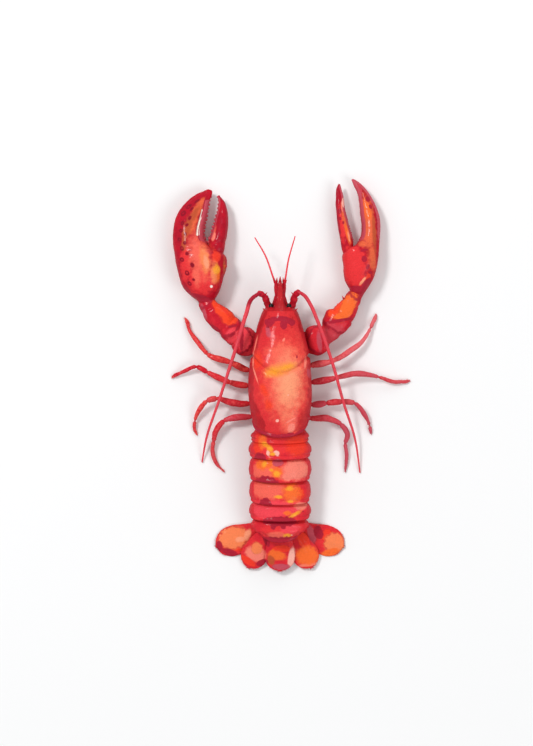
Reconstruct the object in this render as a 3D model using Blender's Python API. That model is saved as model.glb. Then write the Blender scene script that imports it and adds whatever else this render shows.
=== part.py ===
# Cooked lobster, whole, lying on its belly: head towards +Y, back towards +Z, claws reaching forward.
# Lengths are in millimetres and become metres where a mesh is made. The origin is on the table, in the
# middle of the breast plate. Left and right are the animal's own, so left is -X.
# A slice is the outline of a piece cut across its length, and a skin joins a row of slices.

import math

import bmesh
import bpy
import numpy as np
from mathutils import Vector

MM = 0.001
GAP = 0.35  # clearance between neighbouring shell pieces
LEFT, RIGHT = -1, 1
SIDE_NAMES = {LEFT: "left", RIGHT: "right"}

# Carapace
CARAPACE_FRONT = 62.0
CARAPACE_LENGTH = 105.0  # to the rear edge at the flanks; the rear edge bows back over the tail
CARAPACE_HALF_WIDTH = 28.6
CARAPACE_TOP = 52.0
CARAPACE_EDGE = 11.6
CARAPACE_BELLY = 12.6
CARAPACE_REAR_BOW = 13.0
# (share of the length from the front, share of the half width, share of the height)
CARAPACE_PROFILE = [
    (0.00, 0.40, 0.63),
    (0.04, 0.53, 0.73),
    (0.12, 0.65, 0.81),
    (0.25, 0.78, 0.89),
    (0.38, 0.88, 0.94),
    (0.54, 0.965, 0.985),
    (0.68, 1.00, 1.00),
    (0.81, 0.985, 0.98),
    (0.92, 0.93, 0.94),
    (1.00, 0.86, 0.90),
]
NECK_GROOVE_Y = 1.0
NECK_GROOVE_WIDTH = 3.2
NECK_GROOVE_DEPTH = 1.3
NECK_GROOVE_SWEEP = 20.0  # how far forward the groove runs on its way down each flank

# Rostrum, the spike between the eyes: (y, half width, underside, top)
ROSTRUM = [
    (50.0, 7.0, 33.0, 42.0),
    (58.0, 6.2, 30.5, 40.6),
    (65.0, 3.8, 30.3, 37.6),
    (73.0, 2.7, 31.0, 35.6),
    (81.0, 1.9, 31.8, 34.8),
    (87.5, 0.5, 32.8, 33.9),
]
ROSTRUM_SPINES = [68.0, 74.5, 80.5]
SPINE_LENGTH = 3.4
SPINE_RADIUS = 1.1

# Tail. Each ring ends at a rim that the next one slides under.
TAIL_RIMS = [-59.0, -73.0, -93.5, -113.5, -128.5, -141.5]
TAIL_HALF_WIDTHS = [25.5, 27.6, 27.4, 27.2, 27.0, 25.4]
TAIL_TOPS = [42.5, 43.5, 41.5, 38.5, 35.0, 31.0]
TAIL_LIP = 2.6
TAIL_BELLY = 7.0
TAIL_NECK_LENGTH = 7.0
TAIL_NECK_INSET = 4.2
TAIL_RIM_INSET = 1.7
TAIL_RIM_BOW = 2.6
LAST_RIM_BOW = 9.0
LAST_RIM_HALF_WIDTH = 17.5

# Tail fan blades: (x, y, z, half width) down the middle of each blade. The side blades are given for +X.
FAN_THICKNESS = 2.2
FAN_CAMBER = 1.0
TELSON = [
    (0, -139, 15.6, 8.5),
    (0, -148, 13.8, 11.0),
    (0, -158, 11.0, 12.8),
    (0, -166, 9.0, 13.6),
    (0, -172, 7.8, 12.0),
    (0, -175, 7.2, 8.0),
]
FAN_INNER = [
    (9.5, -138.5, 9.7, 5.0),
    (14, -146, 8.8, 8.0),
    (19, -155, 7.2, 10.8),
    (23.5, -163.5, 5.5, 12.2),
    (26, -169, 4.6, 10.5),
    (27.2, -172, 4.2, 7.0),
]
FAN_OUTER = [
    (13, -135.5, 4.3, 4.5),
    (20, -140, 3.6, 7.6),
    (30, -145.5, 2.7, 11.4),
    (40, -149.5, 2.3, 13.8),
    (49, -152.5, 2.1, 12.8),
    (54, -154.2, 2.1, 9.0),
    (56.2, -155, 2.1, 5.5),
]

# Breast plate, which the body rests on: (y, half width)
BREAST_PLATE = [(34, 8), (27, 11), (14, 13.2), (0, 13.7), (-16, 13.2), (-29, 11.4), (-37, 8.5)]
BREAST_PLATE_TOP = 12.2

# Claws. Each is given from its wrist: (along, outward edge, inward edge, top, bottom). Outward is away
# from the body's middle line. The palm carries the fixed finger, and the thumb is the one that moves.
CRUSHER_WRIST = (-67.0, 64.8)
CRUSHER_PALM = [
    (-2.5, 4.5, -4.5, 17.5, 9.0),
    (0.5, 6.5, -6.0, 20.0, 7.0),
    (5.0, 12.5, -9.5, 23.5, 4.0),
    (13.0, 19.4, -13.6, 27.5, 0.5),
    (23.0, 23.3, -16.3, 30.0, -1.2),
    (32.4, 25.7, -19.0, 31.0, -1.6),
    (41.0, 27.3, -18.4, 30.5, -1.6),
    (46.5, 28.0, -14.0, 29.0, -1.4),
    (51.0, 28.6, -3.5, 27.0, -1.0),
    (57.0, 29.0, 0.8, 25.0, -0.3),
    (66.0, 28.8, 1.4, 23.0, 0.8),
    (75.0, 27.0, -0.4, 21.0, 1.8),
    (84.0, 23.0, -2.3, 18.5, 3.0),
    (92.0, 16.5, -3.8, 16.0, 4.4),
    (98.0, 8.5, -5.8, 13.5, 5.8),
    (101.0, 1.0, -5.8, 11.5, 7.2),
]
CRUSHER_THUMB = [
    (41.5, -6.5, -13.0, 19.0, 10.0),
    (44.5, -4.8, -15.5, 22.0, 6.5),
    (49.0, -3.2, -17.0, 23.5, 4.6),
    (54.5, -2.6, -17.8, 23.5, 4.2),
    (61.0, -4.6, -19.1, 22.5, 4.2),
    (71.3, -7.4, -20.2, 20.0, 4.8),
    (83.0, -10.2, -19.7, 17.0, 5.8),
    (91.0, -11.3, -17.6, 14.5, 6.8),
    (96.5, -10.4, -13.0, 11.5, 8.6),
]
CUTTER_WRIST = (71.0, 69.3)
CUTTER_PALM = [
    (-2.5, 1.0, -7.0, 16.5, 9.0),
    (2.0, 4.2, -7.6, 18.5, 7.0),
    (8.0, 7.8, -8.8, 21.0, 4.0),
    (16.0, 12.2, -12.8, 23.5, 1.0),
    (29.7, 16.5, -14.2, 25.0, -1.1),
    (39.0, 18.0, -15.0, 25.0, -1.1),
    (43.5, 18.5, -11.5, 24.4, -1.0),
    (47.5, 18.8, -3.4, 23.0, -0.6),
    (56.0, 19.1, 2.0, 20.5, 0.3),
    (65.7, 19.4, 2.8, 19.0, 1.0),
    (75.0, 18.2, 1.6, 17.5, 2.0),
    (85.5, 14.6, 0.5, 15.5, 3.2),
    (96.0, 8.4, -1.7, 13.2, 4.6),
    (103.0, 2.2, -5.0, 11.4, 5.8),
    (107.0, -3.4, -6.8, 10.0, 7.4),
]
CUTTER_THUMB = [
    (38.0, -7.5, -13.0, 16.5, 9.5),
    (41.0, -5.4, -14.6, 18.4, 7.0),
    (46.0, -4.8, -15.8, 19.2, 5.6),
    (53.0, -5.2, -16.8, 19.0, 5.2),
    (61.0, -7.3, -18.1, 18.0, 5.2),
    (70.0, -9.7, -19.3, 16.8, 5.4),
    (82.0, -12.6, -20.5, 14.6, 6.2),
    (92.0, -13.7, -20.6, 12.8, 7.0),
    (99.0, -15.4, -20.0, 11.2, 7.8),
    (102.5, -16.6, -18.6, 10.2, 8.8),
]
# Teeth along a finger's inner edge: where they start and end, how many, how far they stand out
CRUSHER_TEETH = (56.0, 96.0, 6, 2.0)
CUTTER_TEETH = (50.0, 100.0, 7, 1.1)

# Arms, from the claw back to the body: (x, y, z, half width, half height)
CRUSHER_ARM = {
    "wrist": [
        (-66.3, 65.0, 13.2, 7.0, 6.6),
        (-60.0, 56.5, 13.8, 10.0, 8.8),
        (-50.5, 48.0, 14.2, 11.2, 9.6),
        (-43.5, 41.5, 13.8, 8.4, 7.6),
    ],
    "elbow": [
        (-46.0, 43.5, 13.8, 10.6, 9.2),
        (-40.5, 37.0, 13.6, 11.2, 9.4),
        (-35.0, 32.0, 13.0, 7.6, 7.0),
    ],
    "shoulder": [
        (-36.5, 31.5, 12.8, 11.5, 8.8),
        (-30.0, 30.0, 12.0, 13.5, 8.6),
        (-23.5, 29.0, 9.4, 10.0, 6.0),
        (-17.5, 28.5, 6.4, 5.5, 3.6),
    ],
}
CUTTER_ARM = {
    "wrist": [
        (66.8, 70.5, 12.8, 6.6, 6.4),
        (62.4, 62.5, 13.4, 8.8, 8.0),
        (57.0, 55.0, 13.8, 10.2, 9.0),
        (51.5, 49.5, 13.6, 8.4, 7.2),
    ],
    "elbow": [
        (52.5, 51.0, 13.6, 12.6, 8.8),
        (47.0, 41.5, 13.4, 10.4, 9.0),
        (40.5, 33.5, 12.8, 7.0, 6.8),
    ],
    "shoulder": [
        (37.5, 32.0, 12.6, 12.0, 8.6),
        (31.5, 31.0, 12.0, 14.4, 8.6),
        (24.5, 29.5, 9.4, 10.4, 6.0),
        (17.5, 29.0, 6.4, 5.5, 3.6),
    ],
}

# Walking legs, from the body out: (x, y, z). The knee is where the upper leg ends, and pinches are joints.
LEG_RADIUS = 2.9
LEG_TIP_RADIUS = 0.9
LEG_PINCH = 0.74
LEGS = {
    "left_1": {
        "route": [(-16, 5, 6.6), (-28, 4.5, 8.6), (-45, 11.5, 12.6), (-65.5, 19, 11.5), (-74.5, 30, 7.6),
                  (-80.5, 38, 4.6), (-86, 51.5, 1.1)],
        "knee": 2, "pinches": (3, 4),
    },
    "left_2": {
        "route": [(-16, -8.5, 6.6), (-29, -9.5, 8.6), (-45.5, -6.5, 12.4), (-65.5, 2.5, 10.5),
                  (-75.5, 7.5, 8.2), (-86.5, 3.5, 4.6), (-98, -2.5, 1.1)],
        "knee": 2, "pinches": (3, 4),
    },
    "left_3": {
        "route": [(-16, -23, 6.6), (-28, -25.8, 8.4), (-44, -24.8, 11.0), (-57, -21.4, 11.4),
                  (-66, -23.6, 10.0), (-72.2, -30.6, 7.6), (-77, -41.5, 4.0), (-77.5, -48.5, 2.2),
                  (-75.2, -54, 1.1)],
        "knee": 3, "pinches": (5,),
    },
    "left_4": {
        "route": [(-15, -34.8, 6.4), (-26, -37.6, 8.2), (-39.5, -38.3, 10.6), (-50.5, -41.4, 10.4),
                  (-58, -50.9, 8.0), (-60, -60, 5.6), (-61, -68.5, 3.8), (-57.3, -80.5, 2.0),
                  (-50.6, -87.6, 1.1)],
        "knee": 3, "pinches": (5,),
    },
    "right_1": {
        "route": [(16, 5.5, 6.6), (28, 8.6, 8.6), (46.5, 12.4, 12.6), (63, 21.6, 10.8), (75.5, 31.7, 7.4),
                  (82, 42.6, 4.0), (87.2, 55, 1.1)],
        "knee": 2, "pinches": (3, 4),
    },
    "right_2": {
        "route": [(16, -7.5, 6.6), (29, -6.5, 8.6), (50, -2.8, 12.6), (68, 1.2, 10.8), (89.5, -1.8, 7.2),
                  (104, -6.3, 3.6), (117.8, -5, 1.3)],
        "knee": 2, "pinches": (4,),
    },
    "right_3": {
        "route": [(16, -23, 6.6), (29, -26.6, 8.4), (42, -25.4, 10.6), (56, -24.2, 11.2),
                  (67.5, -25.6, 9.8), (77.2, -37, 5.8), (81.2, -46.2, 2.8), (82.6, -53.2, 1.1)],
        "knee": 3, "pinches": (5,),
    },
    "right_4": {
        "route": [(15, -35, 6.4), (27.5, -39, 8.2), (43.5, -39.4, 10.6), (55, -44.6, 9.8), (61, -54, 7.0),
                  (59.2, -62, 4.8), (60.4, -71.3, 3.2), (59.3, -87.6, 1.1)],
        "knee": 3, "pinches": (5,),
    },
}

# Feelers: (x, y, z, radius). The long ones arch up from the head and sweep back over arms and legs.
ANTENNA_BASE = {
    LEFT: [(-9.0, 57.5, 21.0, 2.6), (-11.4, 65.0, 24.4, 2.8), (-14.8, 71.0, 29.8, 2.5), (-18.6, 73.4, 34.0, 2.2)],
    RIGHT: [(9.4, 57.5, 21.0, 2.6), (11.8, 65.0, 24.6, 2.9), (13.4, 71.0, 30.0, 2.7), (16.2, 74.4, 34.2, 2.3)],
}
ANTENNA = {
    LEFT: [(-18.0, 73.4, 34.4, 1.5), (-25.5, 67.8, 35.4, 1.7), (-30.2, 55.0, 34.4, 1.7), (-37.4, 31.0, 30.8, 1.5),
           (-45.9, 4.5, 25.0, 1.35), (-54.5, -22.0, 19.0, 1.15), (-66.8, -58.5, 8.0, 0.9), (-70.6, -79.2, 1.1, 0.6)],
    RIGHT: [(16.8, 74.2, 34.8, 1.3), (21.6, 71.0, 36.0, 1.5), (27.4, 62.4, 35.6, 1.5), (32.9, 49.7, 33.6, 1.45),
            (47.7, 8.4, 26.0, 1.3), (57.0, -24.3, 18.6, 1.15), (68.0, -58.5, 8.8, 0.9), (72.6, -88.5, 1.1, 0.6)],
}
ANTENNULE = {
    LEFT: [(-3.2, 58.0, 24.8, 1.9), (-3.4, 72.0, 26.6, 1.9), (-4.4, 82.5, 28.2, 1.6), (-6.2, 87.5, 28.8, 0.95),
           (-13.0, 106.5, 29.6, 0.8), (-22.7, 123.3, 27.6, 0.5)],
    RIGHT: [(3.2, 58.0, 24.8, 1.9), (3.4, 72.0, 26.6, 1.9), (4.0, 82.0, 28.2, 1.6), (4.8, 86.5, 28.8, 0.95),
            (7.4, 102.5, 29.8, 0.8), (13.5, 124.4, 28.0, 0.5)],
}
EYE_STALK = [(7.0, 57.0, 31.8, 1.6), (8.4, 61.0, 32.2, 1.7)]
EYE_CENTRE = (8.9, 63.2, 32.5)
EYE_RADIUS = 3.0
MOUTH_LEG = [(4.6, 40.0, 9.4, 2.6), (5.6, 49.0, 9.0, 3.2), (5.4, 58.0, 10.2, 3.0), (4.2, 66.5, 13.4, 2.2),
             (3.6, 70.6, 16.4, 1.3)]

# Colour (red, green, blue), roughness
FINISHES = {
    "body_shell": ((0.70, 0.045, 0.03), 0.32),
    "tail_shell": ((0.74, 0.07, 0.03), 0.34),
    "fan_shell": ((0.76, 0.12, 0.05), 0.38),
    "claw_shell": ((0.66, 0.035, 0.025), 0.30),
    "arm_shell": ((0.60, 0.05, 0.03), 0.34),
    "leg_shell": ((0.62, 0.04, 0.035), 0.36),
    "feeler": ((0.60, 0.05, 0.07), 0.40),
    "eye": ((0.02, 0.012, 0.01), 0.15),
}


def start_scene():
    for obj in list(bpy.data.objects):
        bpy.data.objects.remove(obj)
    root = bpy.context.scene.collection
    for name in ("cooked_lobster", "cutters"):
        root.children.link(bpy.data.collections.new(name))


def finish(name):
    """The material of that name, made on its first use."""
    made = bpy.data.materials.get(name)
    if made is None:
        made = bpy.data.materials.new(name)
        made.use_nodes = True
        colour, roughness = FINISHES[name]
        shader = made.node_tree.nodes["Principled BSDF"]
        shader.inputs["Base Color"].default_value = (*colour, 1)
        shader.inputs["Roughness"].default_value = roughness
        shader.inputs["Metallic"].default_value = 0
    return made


def smooth(stations, spacing):
    """Stations about `spacing` apart on a smooth curve through the given ones."""
    points = [np.array(s, float) for s in stations]
    chords = [np.linalg.norm(b - a) for a, b in zip(points, points[1:])]
    at = np.concatenate([[0], np.cumsum(chords)])
    slopes = [(b - a) / c for a, b, c in zip(points, points[1:], chords)]
    tangents = [slopes[0]]
    for before, after, c0, c1 in zip(slopes, slopes[1:], chords, chords[1:]):
        tangents.append((before * c1 + after * c0) / (c0 + c1))
    tangents.append(slopes[-1])
    found = []
    for i, chord in enumerate(chords):
        steps = max(1, round(chord / spacing))
        for k in range(steps):
            t = k / steps
            found.append(
                points[i] * (2 * t**3 - 3 * t**2 + 1)
                + tangents[i] * chord * (t**3 - 2 * t**2 + t)
                + points[i + 1] * (3 * t**2 - 2 * t**3)
                + tangents[i + 1] * chord * (t**3 - t**2)
            )
    found.append(points[-1])
    return found, at


def skin(name, rings, start, end, material, cutter=False):
    """One closed solid through rings of points, closed by a fan at each end."""
    mesh = bpy.data.meshes.new(name)
    build = bmesh.new()
    rows = [[build.verts.new(Vector(p) * MM) for p in ring] for ring in rings]
    count = len(rows[0])
    for row, following in zip(rows, rows[1:]):
        for i in range(count):
            j = (i + 1) % count
            build.faces.new((row[i], row[j], following[j], following[i]))
    for row, pole in ((rows[0], start), (rows[-1], end)):
        tip = build.verts.new(Vector(pole) * MM)
        for i in range(count):
            build.faces.new((row[i], row[(i + 1) % count], tip))
    bmesh.ops.recalc_face_normals(build, faces=build.faces)
    build.to_mesh(mesh)
    build.free()
    mesh.shade_smooth()
    obj = bpy.data.objects.new(name, mesh)
    bpy.data.collections["cutters" if cutter else "cooked_lobster"].objects.link(obj)
    if cutter:
        obj.hide_render = True
        obj.display_type = "WIRE"
    else:
        mesh.materials.append(finish(material))
    return obj


def rounded(value, power):
    return math.copysign(abs(value) ** (2 / power), value)


def tube(name, stations, material, spacing=4.0, sides=8, power=2.0, camber=0.0, grow=0.0, cutter=False):
    """A solid along a path of (x, y, z, half width, half height), with rounded ends."""
    path, _ = smooth(stations, spacing)
    centres = [Vector(s[:3]) for s in path]
    rings = []
    for i, station in enumerate(path):
        ahead = (centres[min(i + 1, len(path) - 1)] - centres[max(i - 1, 0)]).normalized()
        across = ahead.cross(Vector((0, 0, 1))).normalized()
        up = across.cross(ahead)
        half_width, half_height = station[3] + grow, station[4] + grow
        ring = []
        for k in range(sides):
            angle = 2 * math.pi * k / sides
            c, s = rounded(math.cos(angle), power), rounded(math.sin(angle), power)
            sag = Vector((0, 0, -camber * c * c))
            ring.append(centres[i] + across * half_width * c + up * half_height * s + sag)
        rings.append(ring)
    poles = []
    for ring, centre, inner in ((rings[0], centres[0], centres[1]), (rings[-1], centres[-1], centres[-2])):
        out = (centre - inner).normalized()
        reach = min((ring[sides // 4] - centre).length, (ring[0] - centre).length)
        cap = [centre + (p - centre) * 0.72 + out * reach * 0.6 for p in ring]
        poles.append((cap, centre + out * (reach * 0.8 + grow)))
    rings = [poles[0][0], *rings, poles[1][0]]
    return skin(name, rings, poles[0][1], poles[1][1], material, cutter)


def round_stations(stations):
    """Half width and half height from one radius."""
    return [(x, y, z, r, r) for x, y, z, r in stations]


def mirrored(stations, side):
    return [(x * side, *rest) for x, *rest in stations]


def cut(target, *cutters):
    """Takes the cutters' space out of a piece, as where it holds its neighbour."""
    for cutter in cutters:
        modifier = target.modifiers.new("socket", "BOOLEAN")
        modifier.operation = "DIFFERENCE"
        modifier.object = cutter


def join(target, pieces):
    """Fuses pieces into the target with one union and removes them."""
    group = bpy.data.collections.new("join")
    for piece in pieces:
        group.objects.link(piece)
    modifier = target.modifiers.new("join", "BOOLEAN")
    modifier.operation = "UNION"
    modifier.operand_type = "COLLECTION"
    modifier.collection = group
    bpy.context.view_layer.update()
    whole = bpy.data.meshes.new_from_object(target.evaluated_get(bpy.context.evaluated_depsgraph_get()))
    target.modifiers.clear()
    target.data = whole
    for piece in pieces:
        bpy.data.objects.remove(piece)
    bpy.data.collections.remove(group)


def spine(name, base, towards, length, radius, material):
    """A small thorn: a cone from base along towards."""
    bpy.ops.mesh.primitive_cone_add(vertices=5, radius1=radius * MM, radius2=0.15 * MM, depth=length * MM)
    obj = bpy.context.object
    obj.name = name
    direction = Vector(towards).normalized()
    obj.rotation_euler = direction.to_track_quat("Z", "Y").to_euler()
    obj.location = (Vector(base) + direction * length * 0.5) * MM
    obj.data.materials.append(finish(material))
    return obj


def arch(y, half_width, top, waist, lip, belly, bow, grow=0.0):
    """A slice of the body: a round back, flanks that turn in below the waist, and a shallow belly."""
    half_width, top = half_width + grow, top + grow
    lip, belly = lip - grow, belly - grow
    ring = []
    back_points = 13
    for k in range(back_points):
        angle = math.pi * k / (back_points - 1)
        c, s = rounded(math.cos(angle), 2.15), rounded(math.sin(angle), 2.25)
        ring.append((half_width * c, y - bow * math.sin(angle), waist + (top - waist) * s))
    low = waist - lip
    below = [(0.97, lip + low * 0.45), (0.86, lip), (0.64, belly)]
    right = [(half_width * share, y, z) for share, z in below]
    left = [(-x, y_, z) for x, y_, z in right]
    return ring + left + [(0, y, belly)] + right[::-1]


def carapace_rings(grow=0.0):
    rings = []
    scaled = [(s * CARAPACE_LENGTH, w * CARAPACE_HALF_WIDTH, h * CARAPACE_TOP) for s, w, h in CARAPACE_PROFILE]
    slices, _ = smooth(scaled, 5.2)
    for along, half_width, top in slices:
        share = along / CARAPACE_LENGTH
        waist = CARAPACE_EDGE + 0.42 * (top - CARAPACE_EDGE)
        bow = CARAPACE_REAR_BOW * share**3
        front_lift = 3.0 * max(0.0, 1 - share / 0.12)
        lip, belly = CARAPACE_EDGE + front_lift, CARAPACE_BELLY + front_lift
        ring = arch(CARAPACE_FRONT - along, half_width, top, waist, lip, belly, bow, grow)
        rings.append([neck_groove(p) for p in ring])
    return rings


def neck_groove(point):
    """Draws a point of the carapace in where the groove behind the head crosses it."""
    x, y, z = point
    if z < CARAPACE_EDGE + 8:
        return point
    line = NECK_GROOVE_Y + NECK_GROOVE_SWEEP * (abs(x) / CARAPACE_HALF_WIDTH) ** 2
    depth = NECK_GROOVE_DEPTH * math.exp(-(((y - line) / NECK_GROOVE_WIDTH) ** 2))
    middle = Vector((0, y, CARAPACE_TOP * 0.5))
    inward = (middle - Vector(point)).normalized()
    return Vector(point) + inward * depth


def make_carapace():
    rings = carapace_rings()
    rear = CARAPACE_FRONT - CARAPACE_LENGTH
    body = skin("carapace", rings, (0, CARAPACE_FRONT + 1.2, 23), (0, rear - 2.0, 26), "body_shell")
    slices, _ = smooth(ROSTRUM, 7.0)
    beak = []
    for y, half_width, low, top in slices:
        middle, half = (low + top) / 2, (top - low) / 2
        angles = [2 * math.pi * k / 8 for k in range(8)]
        beak.append([(half_width * math.cos(a), y, middle + half * math.sin(a)) for a in angles])
    first, last = slices[0], slices[-1]
    pieces = [
        skin("beak", beak, (0, first[0] - 1, first[2] + 4), (0, last[0] + 0.6, last[2] + 0.5), "body_shell")
    ]
    for side in (LEFT, RIGHT):
        for y in ROSTRUM_SPINES:
            half_width = np.interp(y, [s[0] for s in ROSTRUM], [s[1] for s in ROSTRUM])
            base = (side * (half_width - 1.0), y, 33.4)
            pieces.append(spine("thorn", base, (side * 0.75, 1, 0.2), SPINE_LENGTH, SPINE_RADIUS, "body_shell"))
        pieces.append(spine("thorn", (side * 13.0, 55.5, 29), (side * 0.75, 1, 0.1), 6.0, 1.9, "body_shell"))
        pieces.append(spine("thorn", (side * 9.8, 50.0, 39.5), (side * 0.2, 1, 0.25), 6.0, 1.7, "body_shell"))
    join(body, pieces)
    return body


def tail_rings(index, grow=0.0):
    """The slices of one tail ring, from the neck inside its neighbour to its own rim."""
    before = TAIL_RIMS[index - 1] if index else CARAPACE_FRONT - CARAPACE_LENGTH - 6
    rim = TAIL_RIMS[index]
    half_width, top = TAIL_HALF_WIDTHS[index], TAIL_TOPS[index]
    last = index == len(TAIL_RIMS) - 1
    bow = LAST_RIM_BOW if last else TAIL_RIM_BOW
    rim_half_width = LAST_RIM_HALF_WIDTH if last else half_width - TAIL_RIM_INSET
    rim_top = top - (6.0 if last else 0.7)
    inset = TAIL_NECK_INSET
    middle = (before + rim) / 2
    slices = [
        (before + TAIL_NECK_LENGTH, half_width - inset - 0.6, top - inset - 1.0, 9.0, TAIL_RIM_BOW),
        (before + 2.0, half_width - inset, top - inset, 9.0, TAIL_RIM_BOW),
        (before - 1.2, half_width - 2.2, top - 2.2, 7.5, TAIL_RIM_BOW),
        (before - 3.2, half_width - 0.7, top - 0.7, 5.0, TAIL_RIM_BOW),
        (middle - 1.0, half_width, top, TAIL_LIP, (TAIL_RIM_BOW + bow) / 2),
        (rim + 3.0, half_width - 0.5 if not last else (half_width + rim_half_width) / 2, rim_top + 0.6, 4.6, bow),
        (rim, rim_half_width, rim_top, 8.4, bow),
    ]
    rings = []
    for y, half, height, lip, bend in slices:
        waist = lip + 0.36 * (height - lip)
        rings.append(arch(y, half, height, waist, lip, max(lip, TAIL_BELLY) + 0.8, bend, grow))
    front, back = slices[0], slices[-1]
    poles = (0, front[0] + 0.5 + grow, top * 0.5), (0, back[0] + 1.5 - grow, rim_top * 0.5)
    return rings, poles


def make_tail(carapace, fan_cutters):
    holder = carapace
    for index in range(len(TAIL_RIMS)):
        rings, poles = tail_rings(index, GAP)
        cutter = skin(f"cut_tail_{index + 1}", rings[:4], poles[0], (0, rings[3][0][1] - 0.1, 20), None, True)
        cut(holder, cutter)
        rings, poles = tail_rings(index)
        holder = skin(f"tail_segment_{index + 1}", rings, *poles, "tail_shell")
    cut(holder, *fan_cutters)


def blade(name, stations, cutter=False):
    half = FAN_THICKNESS / 2
    full = [(x, y, z, w, half) for x, y, z, w in stations]
    grow = GAP if cutter else 0.0
    if cutter:
        full = full[:4]
    return tube(name, full, "fan_shell", 7.0, 12, 2.6, FAN_CAMBER, grow, cutter)


def make_fan():
    """The five blades, and the cutters that seat them in the last tail ring."""
    shapes = {"tail_fan_middle": TELSON}
    for side in (LEFT, RIGHT):
        shapes[f"tail_fan_inner_{SIDE_NAMES[side]}"] = mirrored(FAN_INNER, side)
        shapes[f"tail_fan_outer_{SIDE_NAMES[side]}"] = mirrored(FAN_OUTER, side)
    for name, stations in shapes.items():
        blade(name, stations)
    return [blade(f"cut_{name}", stations, True) for name, stations in shapes.items()]


def make_breast_plate():
    slices, _ = smooth(BREAST_PLATE, 13.0)
    rings = []
    for y, half_width in slices:
        ring = []
        for k in range(12):
            angle = 2 * math.pi * (k + 0.5) / 12
            z = BREAST_PLATE_TOP * (0.42 + 0.58 * rounded(math.sin(angle), 3))
            ring.append((half_width * rounded(math.cos(angle), 3), y, max(z, 0)))
        rings.append(ring)
    front, back = slices[0], slices[-1]
    poles = (0, front[0] + 1.5, 6), (0, back[0] - 1.5, 6)
    return skin("breast_plate", rings, *poles, "leg_shell")


def tooth_height(along, teeth):
    first, last, count, height = teeth
    share = (along - first) / (last - first)
    if not 0 <= share <= 1:
        return 0.0
    return height * (1 - 0.45 * share) * abs(math.sin(math.pi * count * share))


def claw_piece(name, wrist, stations, side, teeth, toothed_edge, spacing, grow=0.0, cutter=False):
    """A palm or a thumb from its slices. toothed_edge is -1 for teeth on the inward edge, 1 on the outward."""
    sides = 12 if toothed_edge < 0 else 10
    slices, _ = smooth(stations, spacing)
    rings = []
    for along, outward, inward, top, bottom in slices:
        centre, half_width = (outward + inward) / 2, (outward - inward) / 2 + grow
        middle, half_height = (top + bottom) / 2, (top - bottom) / 2 + grow
        tooth = tooth_height(along, teeth)
        ring = []
        for k in range(sides):
            angle = 2 * math.pi * k / sides
            c, s = rounded(math.cos(angle), 2.2), rounded(math.sin(angle), 2.2)
            edge = max(0.0, c * toothed_edge) ** 6
            x = centre + half_width * c + toothed_edge * tooth * edge
            ring.append((wrist[0] + side * x, wrist[1] + along, max(middle + half_height * s, 0)))
        rings.append(ring)
    ends = []
    for slice_, direction in ((slices[0], -1), (slices[-1], 1)):
        along, outward, inward, top, bottom = slice_
        reach = 0.4 * min(outward - inward, top - bottom) + grow
        x = wrist[0] + side * (outward + inward) / 2
        ends.append((x, wrist[1] + along + direction * reach, (top + bottom) / 2))
    return skin(name, rings, *ends, "claw_shell", cutter)


def make_claw(name, side, wrist, palm, thumb, teeth, arm, body_cutters):
    palm_solid = claw_piece(f"{name}_palm", wrist, palm, side, teeth, -1, 3.9)
    claw_piece(f"{name}_thumb", wrist, thumb, side, teeth, 1, 3.9)
    cut(palm_solid, claw_piece(f"cut_{name}_thumb", wrist, thumb[:5], side, teeth, 1, 3.9, GAP, True))
    next_cutter = claw_piece(f"cut_{name}_palm", wrist, palm[:5], side, teeth, -1, 3.9, GAP, True)
    for part, stations in arm.items():
        solid = tube(f"{name}_{part}", stations, "arm_shell", 6.0, 10, 2.3)
        cut(solid, next_cutter)
        next_cutter = tube(f"cut_{name}_{part}", stations, None, 6.0, 10, 2.3, 0.0, GAP, True)
        if part == "shoulder":
            cut(solid, *body_cutters)


def leg_stations(leg):
    """Route points with the radius there: thinner outwards, and pinched at the joints."""
    route = leg["route"]
    lengths = [math.dist(a, b) for a, b in zip(route, route[1:])]
    reached = [sum(lengths[:i]) / sum(lengths) for i in range(len(route))]
    stations = []
    for i, (point, share) in enumerate(zip(route, reached)):
        radius = LEG_RADIUS + (LEG_TIP_RADIUS - LEG_RADIUS) * share**1.3
        if i in leg["pinches"] or i == leg["knee"]:
            radius *= LEG_PINCH
        stations.append((*point, radius, radius))
    return stations


def make_leg(name, leg):
    stations, knee = leg_stations(leg), leg["knee"]
    upper = tube(f"leg_{name}_upper", stations[: knee + 1], "leg_shell", 7.0, 7)
    tube(f"leg_{name}_lower", stations[knee:], "leg_shell", 7.0, 6)
    cut(upper, tube(f"cut_leg_{name}", stations[knee : knee + 2], None, 7.0, 6, 2.0, 0.0, GAP, True))


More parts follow.
